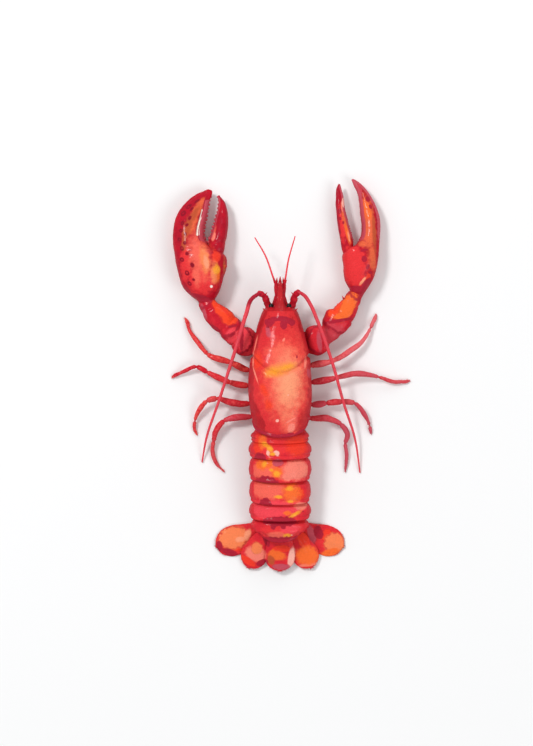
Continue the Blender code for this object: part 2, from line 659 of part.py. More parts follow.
def make_head(carapace):
    """Feelers, eyes and mouth legs, and the sockets that they leave in the carapace."""
    for side in (LEFT, RIGHT):
        word = SIDE_NAMES[side]
        base, whip = round_stations(ANTENNA_BASE[side]), round_stations(ANTENNA[side])
        root = tube(f"antenna_base_{word}", base, "feeler", 6.0, 7)
        tube(f"antenna_{word}", whip, "feeler", 9.0, 5)
        cut(root, tube(f"cut_antenna_{word}", whip[:2], None, 9.0, 5, 2.0, 0.0, GAP, True))
        short = round_stations(ANTENNULE[side])
        tube(f"antennule_{word}", short, "feeler", 9.0, 5)
        stalk = round_stations(mirrored(EYE_STALK, side))
        x, y, z = EYE_CENTRE
        eye = tube(f"eye_{word}", stalk, "eye", 4.0, 6)
        bpy.ops.mesh.primitive_uv_sphere_add(segments=8, ring_count=6, radius=EYE_RADIUS * MM)
        ball = bpy.context.object
        ball.location = (x * side * MM, y * MM, z * MM)
        ball_cutter = ball.copy()
        ball_cutter.data = ball.data.copy()
        join(eye, [ball])
        ball_cutter.name = f"cut_eye_ball_{word}"
        ball_cutter.scale = [(EYE_RADIUS + GAP) / EYE_RADIUS] * 3
        ball_cutter.hide_render = True
        ball_cutter.display_type = "WIRE"
        bpy.data.collections["cutters"].objects.link(ball_cutter)
        cut(
            carapace,
            ball_cutter,
            tube(f"cut_eye_{word}", stalk, None, 4.0, 6, 2.0, 0.0, GAP, True),
            tube(f"cut_antenna_base_{word}", base, None, 6.0, 7, 2.0, 0.0, GAP, True),
            tube(f"cut_antennule_{word}", short[:3], None, 9.0, 5, 2.0, 0.0, GAP, True),
        )
        tube(f"mouth_leg_{word}", round_stations(mirrored(MOUTH_LEG, side)), "leg_shell", 6.0, 7)


def main():
    start_scene()
    carapace = make_carapace()
    make_head(carapace)
    make_tail(carapace, make_fan())
    make_breast_plate()
    rear = CARAPACE_FRONT - CARAPACE_LENGTH
    body_cutter = skin(
        "cut_body", carapace_rings(GAP), (0, CARAPACE_FRONT + 2, 23), (0, rear - 2, 26), None, True
    )
    make_claw("crusher", LEFT, CRUSHER_WRIST, CRUSHER_PALM, CRUSHER_THUMB, CRUSHER_TEETH, CRUSHER_ARM, [body_cutter])
    make_claw("cutter", RIGHT, CUTTER_WRIST, CUTTER_PALM, CUTTER_THUMB, CUTTER_TEETH, CUTTER_ARM, [body_cutter])
    for name, leg in LEGS.items():
        make_leg(name, leg)


main()
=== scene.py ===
# Cooked lobster, whole, seen from straight above: shells, claws, legs, feelers and tail fan in full detail.
# Lengths are in millimetres until a mesh is made. The head is towards +Y, and the crusher claw is at -X.

import itertools
import math

import bmesh
import bpy
import numpy as np
from mathutils import Matrix, Vector


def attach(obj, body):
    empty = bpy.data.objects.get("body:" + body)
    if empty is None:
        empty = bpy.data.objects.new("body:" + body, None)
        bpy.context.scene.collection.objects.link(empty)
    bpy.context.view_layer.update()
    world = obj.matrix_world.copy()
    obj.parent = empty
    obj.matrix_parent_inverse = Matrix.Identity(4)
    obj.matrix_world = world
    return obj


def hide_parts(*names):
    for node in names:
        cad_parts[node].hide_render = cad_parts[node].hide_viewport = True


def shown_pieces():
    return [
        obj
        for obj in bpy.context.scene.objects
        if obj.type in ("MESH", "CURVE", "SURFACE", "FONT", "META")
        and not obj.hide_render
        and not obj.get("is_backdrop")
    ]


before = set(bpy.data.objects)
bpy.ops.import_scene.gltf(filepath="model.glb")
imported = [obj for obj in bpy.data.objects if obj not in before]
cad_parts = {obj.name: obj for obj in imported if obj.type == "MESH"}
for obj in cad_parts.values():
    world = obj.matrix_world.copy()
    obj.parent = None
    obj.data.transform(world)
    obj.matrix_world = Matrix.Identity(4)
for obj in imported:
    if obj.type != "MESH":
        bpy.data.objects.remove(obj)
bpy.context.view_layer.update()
mm = 0.001
left, right = -1, 1
sideNames = {left: "left", right: "right"}
backPower = 2.15  # how square the back's arch is

# Colours of the cooked shell, linear, with alpha
tones = {
    "garnet": (0.43, 0.007, 0.022, 1), "crimson": (0.55, 0.009, 0.024, 1), "ruby": (0.70, 0.022, 0.036, 1),
    "red": (0.80, 0.036, 0.040, 1), "scarlet": (0.87, 0.046, 0.024, 1), "blaze": (0.94, 0.066, 0.022, 1),
    "rosy": (0.88, 0.062, 0.084, 1), "petal": (0.78, 0.150, 0.165, 1), "salmon": (0.90, 0.130, 0.090, 1),
    "blush": (0.93, 0.220, 0.160, 1), "peach": (0.96, 0.330, 0.180, 1), "apricot": (0.92, 0.225, 0.085, 1),
    "orange": (0.93, 0.150, 0.030, 1), "yellow": (0.94, 0.350, 0.030, 1), "clay": (0.80, 0.130, 0.052, 1),
    "rust": (0.52, 0.085, 0.032, 1), "mauve": (0.58, 0.080, 0.112, 1), "dusk": (0.60, 0.048, 0.068, 1),
    "maroon": (0.42, 0.016, 0.036, 1), "wine": (0.26, 0.007, 0.020, 1), "pale": (0.96, 0.450, 0.370, 1),
    "ivory": (0.94, 0.800, 0.700, 1), "ink": (0.006, 0.004, 0.004, 1),
}


# Points, rings and meshes


# Rows about `spacing` apart on a smooth curve through the given ones.
def smoothRows(rows, spacing):
    points = np.array(rows, float)
    steps = np.diff(points, axis=0)
    chords = np.linalg.norm(steps, axis=1)
    slopes = steps / chords[:, None]
    inner = slopes[:-1] * chords[1:, None] + slopes[1:] * chords[:-1, None]
    inner = inner / (chords[:-1] + chords[1:])[:, None]
    tangents = np.vstack([slopes[:1], inner, slopes[-1:]])
    found = []
    for i, chord in enumerate(chords):
        count = max(1, round(chord / spacing))
        t = (np.arange(count) / count)[:, None]
        found.append(
            points[i] * (2 * t**3 - 3 * t**2 + 1)
            + tangents[i] * chord * (t**3 - 2 * t**2 + t)
            + points[i + 1] * (3 * t**2 - 2 * t**3)
            + tangents[i + 1] * chord * (t**3 - t**2)
        )
    return np.vstack([*found, points[-1:]])


# A table's column, read at places along its first column.
def valueAt(rows, along, column):
    return np.interp(along, rows[:, 0], rows[:, column])


def lengthsAlong(path):
    return np.concatenate([[0], np.cumsum(np.linalg.norm(np.diff(path, axis=0), axis=1))])


def gapTo(points, spot):
    return np.linalg.norm(points - np.array(spot), axis=1)


def mirrored(rows, side):
    return [(x * side, *rest) for x, *rest in rows]


def stacked(*parts):
    return np.stack(np.broadcast_arrays(*parts), -1)


def bell(distance, width):
    return np.exp(-((distance / width) ** 2))


def ramp(values, low, high):
    t = np.clip((values - low) / (high - low), 0, 1)
    return t * t * (3 - 2 * t)


def fade(distance, reach):
    return np.clip(1 - distance / reach, 0, 1)


def rounded(values, power):
    return np.copysign(np.abs(values) ** (2 / power), values)


# The two shares of a round ring, squarer with a higher power.
def ringShape(count, power=2.0):
    turn = 2 * np.pi * np.arange(count) / count
    return rounded(np.cos(turn), power), rounded(np.sin(turn), power)


# A closed outline resampled to `count` even points, with its corners eased.
def evenLoop(points, count, softening):
    closed = np.vstack([points, points[:1]])
    reached = lengthsAlong(closed)
    wanted = np.linspace(0, reached[-1], count, endpoint=False)
    loop = np.column_stack([np.interp(wanted, reached, column) for column in closed.T])
    for _ in range(softening):
        loop = (np.roll(loop, 1, 0) + 2 * loop + np.roll(loop, -1, 0)) / 4
    return loop


# The rings with a rounded cap added at each end, and the two end points.
def capped(rings, centres, outs, steps):
    bends = np.linspace(0, np.pi / 2, steps + 1, endpoint=False)[1:]
    caps, poles = [], []
    for end, out in zip((0, -1), outs):
        spread = rings[end] - centres[end]
        caps.append([centres[end] + spread * math.cos(a) + out * math.sin(a) for a in bends])
        poles.append(centres[end] + out)
    return np.array([*caps[0][::-1], *rings, *caps[1]]), poles


# Rings along a path of (x, y, z, half width, half height), with rounded ends, and the two end points.
def tubeRings(stations, spacing, sides, power, camber=0.0, capSteps=5):
    rows = smoothRows(stations, spacing)
    centres = rows[:, :3]
    ahead = np.gradient(centres, axis=0)
    ahead /= np.linalg.norm(ahead, axis=1)[:, None]
    across = np.cross(ahead, (0, 0, 1))
    across /= np.linalg.norm(across, axis=1)[:, None]
    up = np.cross(across, ahead)
    c, s = ringShape(sides, power)
    wide, high = rows[:, 3, None] * c, rows[:, 4, None] * s
    rings = centres[:, None] + across[:, None] * wide[..., None] + up[:, None] * high[..., None]
    rings[..., 2] -= camber * c**2
    reach = rows[:, 3:].min(axis=1) * 0.8
    rings, poles = capped(rings, centres, (-ahead[0] * reach[0], ahead[-1] * reach[-1]), capSteps)
    return rings, [pole - (0, 0, camber * 0.3) for pole in poles]


def newPiece(name, points, edges=(), faces=()):
    mesh = bpy.data.meshes.new(name)
    mesh.from_pydata((np.array(points, float) * mm).tolist(), edges, faces)
    piece = bpy.data.objects.new(name, mesh)
    bpy.context.scene.collection.objects.link(piece)
    return piece


# Loose or joined points with a value or vector on each.
def markedPoints(name, points, edges=(), **fields):
    piece = newPiece(name, points, edges)
    for label, values in fields.items():
        values = np.array(values, np.float32)
        kind, key = ("FLOAT_VECTOR", "vector") if values.ndim == 2 else ("FLOAT", "value")
        piece.data.attributes.new(label, kind, "POINT").data.foreach_set(key, values.ravel())
    return piece


# A closed mesh through the rings, with its faces pointing out.
def skin(name, rings, poles):
    count, sides = rings.shape[:2]
    points = np.vstack([rings.reshape(-1, 3), *poles])
    row = np.arange(count - 1)[:, None] * sides
    here, after = np.arange(sides)[None], (np.arange(sides)[None] + 1) % sides
    quads = np.stack([row + here, row + after, row + sides + after, row + sides + here], -1).reshape(-1, 4)
    first, last = here[0], here[0] + (count - 1) * sides
    fans = [
        np.stack([np.roll(first, -1), first, np.full(sides, count * sides)], -1),
        np.stack([last, np.roll(last, -1), np.full(sides, count * sides + 1)], -1),
    ]
    a, b, c, d = points[quads].transpose(1, 0, 2)
    volume = np.sum(a * (np.cross(b, c) + np.cross(c, d)))
    faces = [*quads.tolist(), *np.vstack(fans).tolist()]
    if volume < 0:
        faces = [face[::-1] for face in faces]
    piece = newPiece(name, points, faces=faces)
    piece.data.shade_smooth()
    return piece


def tube(name, stations, spacing, sides, power=2.0):
    return skin(name, *tubeRings(stations, spacing, sides, power))


# Turns the piece's modifiers into plain mesh.
def settle(piece):
    bpy.context.view_layer.update()
    graph = bpy.context.evaluated_depsgraph_get()
    mesh = bpy.data.meshes.new_from_object(piece.evaluated_get(graph))
    old = piece.data
    piece.modifiers.clear()
    piece.data = mesh
    mesh.name = piece.name
    bpy.data.meshes.remove(old)
    mesh.shade_smooth()
    return piece


# Joins other meshes into the piece's own.
def merge(piece, *others):
    build = bmesh.new()
    for one in (piece, *others):
        build.from_mesh(one.data)
    build.to_mesh(piece.data)
    build.free()
    for one in others:
        bpy.data.objects.remove(one)
    piece.data.shade_smooth()


# Melts crossing shapes into one skin.
def fuse(piece, voxel, smoothing):
    remesh = piece.modifiers.new("melt", "REMESH")
    remesh.mode = "VOXEL"
    remesh.voxel_size = voxel * mm
    soften = piece.modifiers.new("soften", "SMOOTH")
    soften.factor = 0.5
    soften.iterations = smoothing
    settle(piece)


def readPoints(piece, field="co"):
    values = np.empty(len(piece.data.vertices) * 3)
    piece.data.vertices.foreach_get(field, values)
    return values.reshape(-1, 3) / (mm if field == "co" else 1)


def movePoints(piece, points):
    piece.data.vertices.foreach_set("co", (points * mm).ravel())
    piece.data.update()


# Moves each point out along its normal by so many millimetres.
def push(piece, amount):
    movePoints(piece, readPoints(piece) + readPoints(piece, "normal") * np.asarray(amount)[:, None])


def keepOffTable(piece):
    points = readPoints(piece)
    points[:, 2] = np.maximum(points[:, 2], 0)
    movePoints(piece, points)


# Smooth random values from -1 to 1, with features about `size` across.
def lumps(points, size, seed=0):
    scaled = points / size + seed * 7.31
    cell = np.floor(scaled).astype(np.int64)
    t = scaled - cell
    t = t * t * (3 - 2 * t)
    total = np.zeros(len(points))
    for corner in itertools.product((0, 1), repeat=3):
        key = cell + corner
        mixed = (key[:, 0] * 73856093) ^ (key[:, 1] * 19349663) ^ (key[:, 2] * 83492791)
        mixed = (mixed ^ (mixed >> 13)) * 1274126177
        value = ((mixed ^ (mixed >> 16)) & 0xFFFF) / 0xFFFF
        total += value * np.prod(np.where(corner, t, 1 - t), axis=1)
    return total * 2 - 1


# Pushes the surface in and out by layers of (size, height).
def roughen(piece, *layers):
    points = readPoints(piece)
    push(piece, sum(lumps(points, size, k + 3) * height for k, (size, height) in enumerate(layers)))


# Soft ovals of colour seen from above: for each tone (x, y, half length x, half length y, turn).
def washMasks(points, washes):
    masks = {}
    for tone, ovals in washes.items():
        for x, y, halfX, halfY, turn in ovals:
            c, s = math.cos(math.radians(turn)), math.sin(math.radians(turn))
            dx, dy = points[:, 0] - x, points[:, 1] - y
            amount = fade(np.hypot((dx * c + dy * s) / halfX, (dy * c - dx * s) / halfY), 2)
            masks[tone] = np.maximum(masks.get(tone, 0), amount)
    return masks


# Writes how much of each tone lies on each point. The washes stay above a height.
def paint(piece, washes=None, above=-99, within=1, **extra):
    points = readPoints(piece)
    shown = ramp(points[:, 2], above - 1.5, above + 1.5) * within
    masks = {tone: amount * shown for tone, amount in washMasks(points, washes or {}).items()}
    for tone, amount in extra.items():
        masks[tone] = np.maximum(masks.get(tone, 0), np.clip(amount, 0, 1))
    # painted shade: how far the surface turns to the side, which darkens the shell there
    masks["rim"] = bell(readPoints(piece, "normal")[:, 2] + 0.05, 0.42)
    for tone, amount in masks.items():
        layer = piece.data.attributes.new(tone, "FLOAT", "POINT")
        layer.data.foreach_set("value", np.broadcast_to(amount, len(points)).astype(np.float32))


# Node trees


# A node group. An input is given by its starting value, or by its kind where it has none.
def newTree(name, kind, inputs, outputs):
    tree = bpy.data.node_groups.new(name, kind)
    for label, value in inputs.items():
        socketKind = {float: "Float", int: "Int"}.get(type(value), value)
        socket = tree.interface.new_socket(label, in_out="INPUT", socket_type=f"NodeSocket{socketKind}")
        if socketKind != value:
            socket.default_value = value
    for label, socketKind in outputs.items():
        tree.interface.new_socket(label, in_out="OUTPUT", socket_type=f"NodeSocket{socketKind}")
    return tree, tree.nodes.new("NodeGroupInput").outputs, tree.nodes.new("NodeGroupOutput").inputs


# A node with its settings, and each socket set to a value or linked.
def add(tree, kind, sockets=None, **settings):
    node = tree.nodes.new(kind)
    for key, value in settings.items():
        setattr(node, key, value)
    for socket, value in (sockets or {}).items():
        if isinstance(value, bpy.types.NodeSocket):
            tree.links.new(value, node.inputs[socket])
        else:
            node.inputs[socket].default_value = value
    return node.outputs


def calculate(tree, operation, *values):
    return add(tree, "ShaderNodeMath", dict(enumerate(values)), operation=operation)[0]


def scaledBy(tree, vector, scale):
    return add(tree, "ShaderNodeVectorMath", {0: vector, "Scale": scale}, operation="SCALE")[0]


def mapped(tree, value, low, high, bottom=0.0, top=1.0, **settings):
    sockets = {"Value": value, "From Min": low, "From Max": high, "To Min": bottom, "To Max": top}
    return add(tree, "ShaderNodeMapRange", sockets, **settings)[0]


def pointValue(tree, name, kind="FLOAT"):
    return add(tree, "GeometryNodeInputNamedAttribute", {"Name": name}, data_type=kind)[0]


# Grows copies of one small shape from points, each along the point's own direction.
def sproutTree():
    inputs = {
        "Geometry": "Geometry", "Sprout": "Object", "Size": 1.0, "Size Spread": 0.15, "Lean": 0.2, "Seed": 1,
        "Finish": "Material",
    }
    tree, given, made = newTree("sprout", "GeometryNodeTree", inputs, {"Geometry": "Geometry"})
    points = add(tree, "GeometryNodeMeshToPoints", {"Mesh": given["Geometry"]})[0]
    shape = add(tree, "GeometryNodeObjectInfo", {"Object": given["Sprout"]})["Geometry"]
    anyWay = {"Min": (-1, -1, -1), "Max": (1, 1, 1), "Seed": given["Seed"]}
    lean = add(tree, "FunctionNodeRandomValue", anyWay, data_type="FLOAT_VECTOR")[0]
    leaning = scaledBy(tree, lean, given["Lean"])
    outward = pointValue(tree, "outward", "FLOAT_VECTOR")
    direction = add(tree, "ShaderNodeVectorMath", {0: outward, 1: leaning}, operation="ADD")[0]
    aim = add(tree, "FunctionNodeAlignRotationToVector", {"Vector": direction}, axis="Z")[0]
    anySize = {2: -1.0, 3: 1.0, "Seed": given["Seed"]}
    vary = add(tree, "FunctionNodeRandomValue", anySize, data_type="FLOAT")[1]
    share = calculate(tree, "MULTIPLY_ADD", vary, given["Size Spread"], 1.0)
    scale = calculate(tree, "MULTIPLY", pointValue(tree, "size"), share)
    scale = calculate(tree, "MULTIPLY", scale, given["Size"])
    copies = {"Points": points, "Instance": shape, "Rotation": aim, "Scale": scale}
    grown = add(tree, "GeometryNodeInstanceOnPoints", copies)[0]
    real = add(tree, "GeometryNodeRealizeInstances", {0: grown})[0]
    finished = add(tree, "GeometryNodeSetMaterial", {0: real, "Material": given["Finish"]})[0]
    tree.links.new(finished, made["Geometry"])
    return tree


# A tapering ringed feeler along a line of points that carry their own thickness.
def whipTree():
    inputs = {"Geometry": "Geometry", "Rings": 100, "Ring Depth": 0.1, "Sides": 12, "Finish": "Material"}
    tree, given, made = newTree("ringedWhip", "GeometryNodeTree", inputs, {"Geometry": "Geometry"})
    line = add(tree, "GeometryNodeMeshToCurve", {"Mesh": given["Geometry"]})[0]
    count = calculate(tree, "MULTIPLY", given["Rings"], 4.0)  # four points to each ring
    even = add(tree, "GeometryNodeResampleCurve", {"Curve": line, "Count": count})[0]
    phase = calculate(tree, "MULTIPLY", add(tree, "GeometryNodeInputIndex")[0], math.pi / 2)
    wave = calculate(tree, "SINE", phase)
    swell = calculate(tree, "MULTIPLY_ADD", wave, given["Ring Depth"], 1.0)
    radius = calculate(tree, "MULTIPLY", pointValue(tree, "thick"), swell)
    circle = add(tree, "GeometryNodeCurvePrimitiveCircle", {"Resolution": given["Sides"], "Radius": 1.0})[0]
    sweep = {"Curve": even, "Profile Curve": circle, "Scale": radius, "Fill Caps": True}
    body = add(tree, "GeometryNodeCurveToMesh", sweep)[0]
    finished = add(tree, "GeometryNodeSetMaterial", {0: body, "Material": given["Finish"]})[0]
    tree.links.new(finished, made["Geometry"])
    return tree


# Runs a geometry tree on the piece with the named inputs, and keeps the result as its mesh.
def grow(piece, tree, settings):
    modifier = piece.modifiers.new("grow", "NODES")
    modifier.node_group = tree
    for item in tree.interface.items_tree:
        if item.item_type == "SOCKET" and item.in_out == "INPUT" and item.name in settings:
            modifier[item.identifier] = settings[item.name]
    return settle(piece)


# A small turned shape along +Z from (radius, height) pairs, closed at both ends.
def turnedShape(name, profile, sides, flatten=1.0):
    c, s = ringShape(sides)
    r, h = np.array(profile[1:-1]).T[..., None]
    shape = skin(name, stacked(r * c, flatten * r * s, h), [(0, 0, profile[0][1]), (0, 0, profile[-1][1])])
    shape.hide_render = True
    return shape


trees = {"sprout": sproutTree(), "whip": whipTree()}
thornProfile = [(0, -0.2), (0.36, -0.18), (0.27, 0.08), (0.20, 0.34), (0.12, 0.64), (0.05, 0.9), (0, 1.0)]
bristleProfile = [(0, -0.02), (0.045, 0.0), (0.028, 0.55), (0, 1.0)]
molarProfile = [(0, -0.3), (0.46, -0.28), (0.5, 0.0), (0.42, 0.26), (0.24, 0.42), (0, 0.48)]
knobProfile = [(0, -0.4), (0.56, -0.36), (0.5, 0.0), (0.36, 0.34), (0.17, 0.56), (0, 0.62)]
paddleProfile = [(0, -0.02), (0.07, 0.0), (0.16, 0.2), (0.27, 0.5), (0.25, 0.8), (0.12, 0.97), (0, 1.0)]
sprouts = {
    "thorn": turnedShape("thornShape", thornProfile, 9),
    "bristle": turnedShape("bristleShape", bristleProfile, 3),
    "molar": turnedShape("molarShape", molarProfile, 10),
    "knob": turnedShape("knobShape", knobProfile, 10),
    "paddle": turnedShape("paddleShape", paddleProfile, 12, 0.22),
}


# Small shapes grown from rows of (x, y, z, way x, way y, way z, size).
def sproutOn(name, kind, rows, lean, spread, seed):
    rows = np.array(rows, float)
    cloud = markedPoints(name, rows[:, :3], outward=rows[:, 3:6], size=rows[:, 6])
    settings = {"Sprout": sprouts[kind], "Lean": lean, "Size Spread": spread, "Seed": seed}
    return grow(cloud, trees["sprout"], settings)


def sproutRows(starts, ways, size):
    return np.column_stack([starts, ways, np.broadcast_to(size, len(starts))])


# Shell finishes


# Cloudy variation at three sizes.
def mottleGroup():
    outputs = {"Broad": "Float", "Edge": "Float", "Fine": "Float"}
    tree, given, made = newTree("mottle", "ShaderNodeTree", {"Position": "Vector", "Size": 8.0}, outputs)
    spot = scaledBy(tree, given["Position"], calculate(tree, "DIVIDE", 1 / mm, given["Size"]))
    for label, scale, detail in (("Broad", 1.0, 3.0), ("Edge", 2.3, 1.2), ("Fine", 9.0, 4.0)):
        settings = {"Vector": spot, "Scale": scale, "Detail": detail, "Roughness": 0.55}
        tree.links.new(add(tree, "ShaderNodeTexNoise", settings)["Fac"], made[label])
    return tree


# Turns a soft amount of a tone into a patch with an uneven edge, and the thin line round it.
def washEdgeGroup():
    inputs = {"Amount": 0.0, "Noise": 0.5, "Wobble": 0.4, "Softness": 0.1}
    tree, given, made = newTree("washEdge", "ShaderNodeTree", inputs, {"Mask": "Float", "Line": "Float"})
    uneven = calculate(tree, "SUBTRACT", given["Noise"], 0.5)
    shift = calculate(tree, "MULTIPLY", uneven, given["Wobble"])
    present = calculate(tree, "GREATER_THAN", given["Amount"], 0.02)
    level = calculate(tree, "ADD", given["Amount"], calculate(tree, "MULTIPLY", shift, present))
    low = calculate(tree, "SUBTRACT", 0.5, given["Softness"])
    high = calculate(tree, "ADD", 0.5, given["Softness"])
    tree.links.new(mapped(tree, level, low, high, interpolation_type="SMOOTHSTEP"), made["Mask"])
    away = calculate(tree, "ABSOLUTE", calculate(tree, "SUBTRACT", level, 0.5))
    tree.links.new(mapped(tree, away, 0.0, 0.035, 1.0, 0.0), made["Line"])
    return tree


# Small pits and fine grain of a shell.
def poreGroup():
    inputs, outputs = {"Position": "Vector", "Size": 1.4, "Depth": 1.0}, {"Height": "Float", "Pit": "Float"}
    tree, given, made = newTree("shellPores", "ShaderNodeTree", inputs, outputs)
    spot = scaledBy(tree, given["Position"], calculate(tree, "DIVIDE", 1 / mm, given["Size"]))
    cells = add(tree, "ShaderNodeTexVoronoi", {"Vector": spot, "Scale": 1.0, "Randomness": 1.0})["Distance"]
    pit = mapped(tree, cells, 0.08, 0.34, 1.0, 0.0)
    grainSettings = {"Vector": spot, "Scale": 0.55, "Detail": 5.0, "Roughness": 0.6}
    grain = add(tree, "ShaderNodeTexNoise", grainSettings)["Fac"]
    sunk = calculate(tree, "MULTIPLY", pit, given["Depth"])
    tree.links.new(calculate(tree, "SUBTRACT", grain, sunk), made["Height"])
    tree.links.new(pit, made["Pit"])
    return tree


groups = {"mottle": mottleGroup(), "washEdge": washEdgeGroup(), "pores": poreGroup()}


def groupNode(tree, name, sockets):
    return add(tree, "ShaderNodeGroup", sockets, node_tree=groups[name])


def mixColour(tree, below, above, share):
    return add(tree, "ShaderNodeMix", {6: below, 7: above, 0: share}, data_type="RGBA")[2]


glaze = {
    "crisp": 0.11,  # a patch softer than this has no line round it
    "lineShade": 0.34, "pitShade": 0.16, "bumpDepth": 0.35, "shine": 0.02, "coatRough": 0.12,
}


# A glossy mottled shell: two base tones, then each wash in turn as (softness, wobble), then pores.
def shellFinish(
    name, base, second, washes,
    mottle=9.0, pore=1.1, pit=0.4, relief=0.22, rough=(0.40, 0.56), coat=0.16, sideShade=0.8,
):
    material = bpy.data.materials.new(name)
    material.use_nodes = True
    tree = material.node_tree
    position = add(tree, "ShaderNodeTexCoord")["Object"]
    cloud = groupNode(tree, "mottle", {"Position": position, "Size": mottle})
    pores = groupNode(tree, "pores", {"Position": position, "Size": pore, "Depth": pit})
    colour = mixColour(tree, tones[base], tones[second], mapped(tree, cloud["Broad"], 0.42, 0.66))
    for tone, (softness, wobble) in washes.items():
        amount = add(tree, "ShaderNodeAttribute", attribute_name=tone)["Fac"]
        sockets = {"Amount": amount, "Noise": cloud["Edge"], "Wobble": wobble, "Softness": softness}
        patch = groupNode(tree, "washEdge", sockets)
        colour = mixColour(tree, colour, tones[tone], patch["Mask"])
        if softness < glaze["crisp"]:  # a crisp patch has a thin darker line round it
            line = calculate(tree, "MULTIPLY", patch["Line"], glaze["lineShade"])
            colour = mixColour(tree, colour, tones["wine"], line)
    # painted shade: the shell deepens where it turns away at the sides
    rim = calculate(tree, "MULTIPLY", add(tree, "ShaderNodeAttribute", attribute_name="rim")["Fac"], sideShade)
    colour = mixColour(tree, colour, tones["garnet" if washes else base], rim)
    light = mapped(tree, cloud["Fine"], 0.3, 0.7, 0.86, 1.10)
    colour = add(tree, "ShaderNodeHueSaturation", {"Color": colour, "Value": light})[0]
    pitted = calculate(tree, "MULTIPLY", pores["Pit"], glaze["pitShade"])
    colour = mixColour(tree, colour, tones["wine"], pitted)
    bump = {"Height": pores["Height"], "Strength": relief, "Distance": glaze["bumpDepth"] * mm}
    shader = tree.nodes["Principled BSDF"].inputs
    tree.links.new(colour, shader["Base Color"])
    tree.links.new(mapped(tree, cloud["Fine"], 0.3, 0.7, *rough), shader["Roughness"])
    tree.links.new(add(tree, "ShaderNodeBump", bump)[0], shader["Normal"])
    shader["Specular IOR Level"].default_value = glaze["shine"]
    shader["Coat Weight"].default_value = coat
    shader["Coat Roughness"].default_value = glaze["coatRough"]
    return material


finishes = {
    "body_shell": shellFinish("bodyShell", "garnet", "crimson", {
        "ruby": (0.10, 0.35), "red": (0.44, 0.5), "salmon": (0.34, 0.5), "peach": (0.42, 0.4),
        "scarlet": (0.36, 0.6), "apricot": (0.3, 0.5), "yellow": (0.62, 0.5), "blush": (0.12, 0.3),
        "mauve": (0.2, 0.5), "maroon": (0.07, 0.5), "pale": (0.12, 0.3),
    }, mottle=11.0),
    "tail_shell": shellFinish("tailShell", "ruby", "red", {
        "red": (0.12, 0.4), "rosy": (0.16, 0.4), "salmon": (0.13, 0.3), "blush": (0.12, 0.3),
        "scarlet": (0.16, 0.4), "orange": (0.20, 0.5), "pale": (0.10, 0.4), "yellow": (0.26, 0.5),
        "mauve": (0.10, 0.4), "maroon": (0.07, 0.45),
    }, mottle=8.0),
    "fan_shell": shellFinish("fanShell", "ruby", "red", {
        "blush": (0.12, 0.22), "scarlet": (0.08, 0.22), "apricot": (0.10, 0.26), "orange": (0.14, 0.26),
        "peach": (0.16, 0.22), "pale": (0.12, 0.2), "rust": (0.14, 0.2), "mauve": (0.08, 0.2),
        "maroon": (0.07, 0.24),
    }, mottle=7.0, pore=0.9, pit=0.25, coat=0.10),
    "claw_shell": shellFinish("clawShell", "garnet", "crimson", {
        "red": (0.14, 0.5), "scarlet": (0.14, 0.5), "salmon": (0.32, 0.6), "clay": (0.24, 0.6),
        "rust": (0.26, 0.6), "apricot": (0.22, 0.5), "orange": (0.24, 0.5), "peach": (0.22, 0.5),
        "yellow": (0.2, 0.5), "blush": (0.12, 0.3), "dusk": (0.07, 0.25), "mauve": (0.08, 0.25),
        "ivory": (0.07, 0.15), "maroon": (0.08, 0.35), "wine": (0.16, 0.4), "pale": (0.06, 0.2),
    }, mottle=10.0, pore=1.3, pit=0.5),
    "arm_shell": shellFinish("armShell", "crimson", "ruby", {
        "red": (0.14, 0.4), "ruby": (0.12, 0.3), "rosy": (0.14, 0.26), "blaze": (0.10, 0.26),
        "scarlet": (0.12, 0.3), "orange": (0.10, 0.3), "dusk": (0.14, 0.26), "mauve": (0.14, 0.26),
        "maroon": (0.08, 0.36),
    }, mottle=8.0, pore=1.2),
    "leg_shell": shellFinish("legShell", "crimson", "ruby", {
        "red": (0.3, 0.6), "salmon": (0.25, 0.6), "mauve": (0.35, 0.6), "petal": (0.3, 0.5),
        "maroon": (0.12, 0.4), "pale": (0.12, 0.2),
    }, mottle=5.0, pore=0.7, coat=0.12, sideShade=0.45),
    "feeler": shellFinish("feelerShell", "crimson", "ruby", {
        "rosy": (0.3, 0.4), "mauve": (0.3, 0.4), "maroon": (0.14, 0.4),
    }, mottle=6.0, pore=0.6, coat=0.1, sideShade=0.3),
    "eye": shellFinish(
        "eyeGloss", "ink", "ink", {}, pore=0.4, pit=0.1, relief=0.05, rough=(0.08, 0.14), coat=0.5, sideShade=0.0
    ),
}


# Gives the piece its finish, hangs it on the root body and hides the solids that it stands for.
def place(piece, slot, *nodes):
    keepOffTable(piece)
    piece.data.materials.clear()
    piece.data.materials.append(finishes[slot])
    for face in piece.data.polygons:
        face.material_index = 0
    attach(piece, "root")
    if nodes:
        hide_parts(*nodes)


print("finishes and node trees ready")


# Body shell

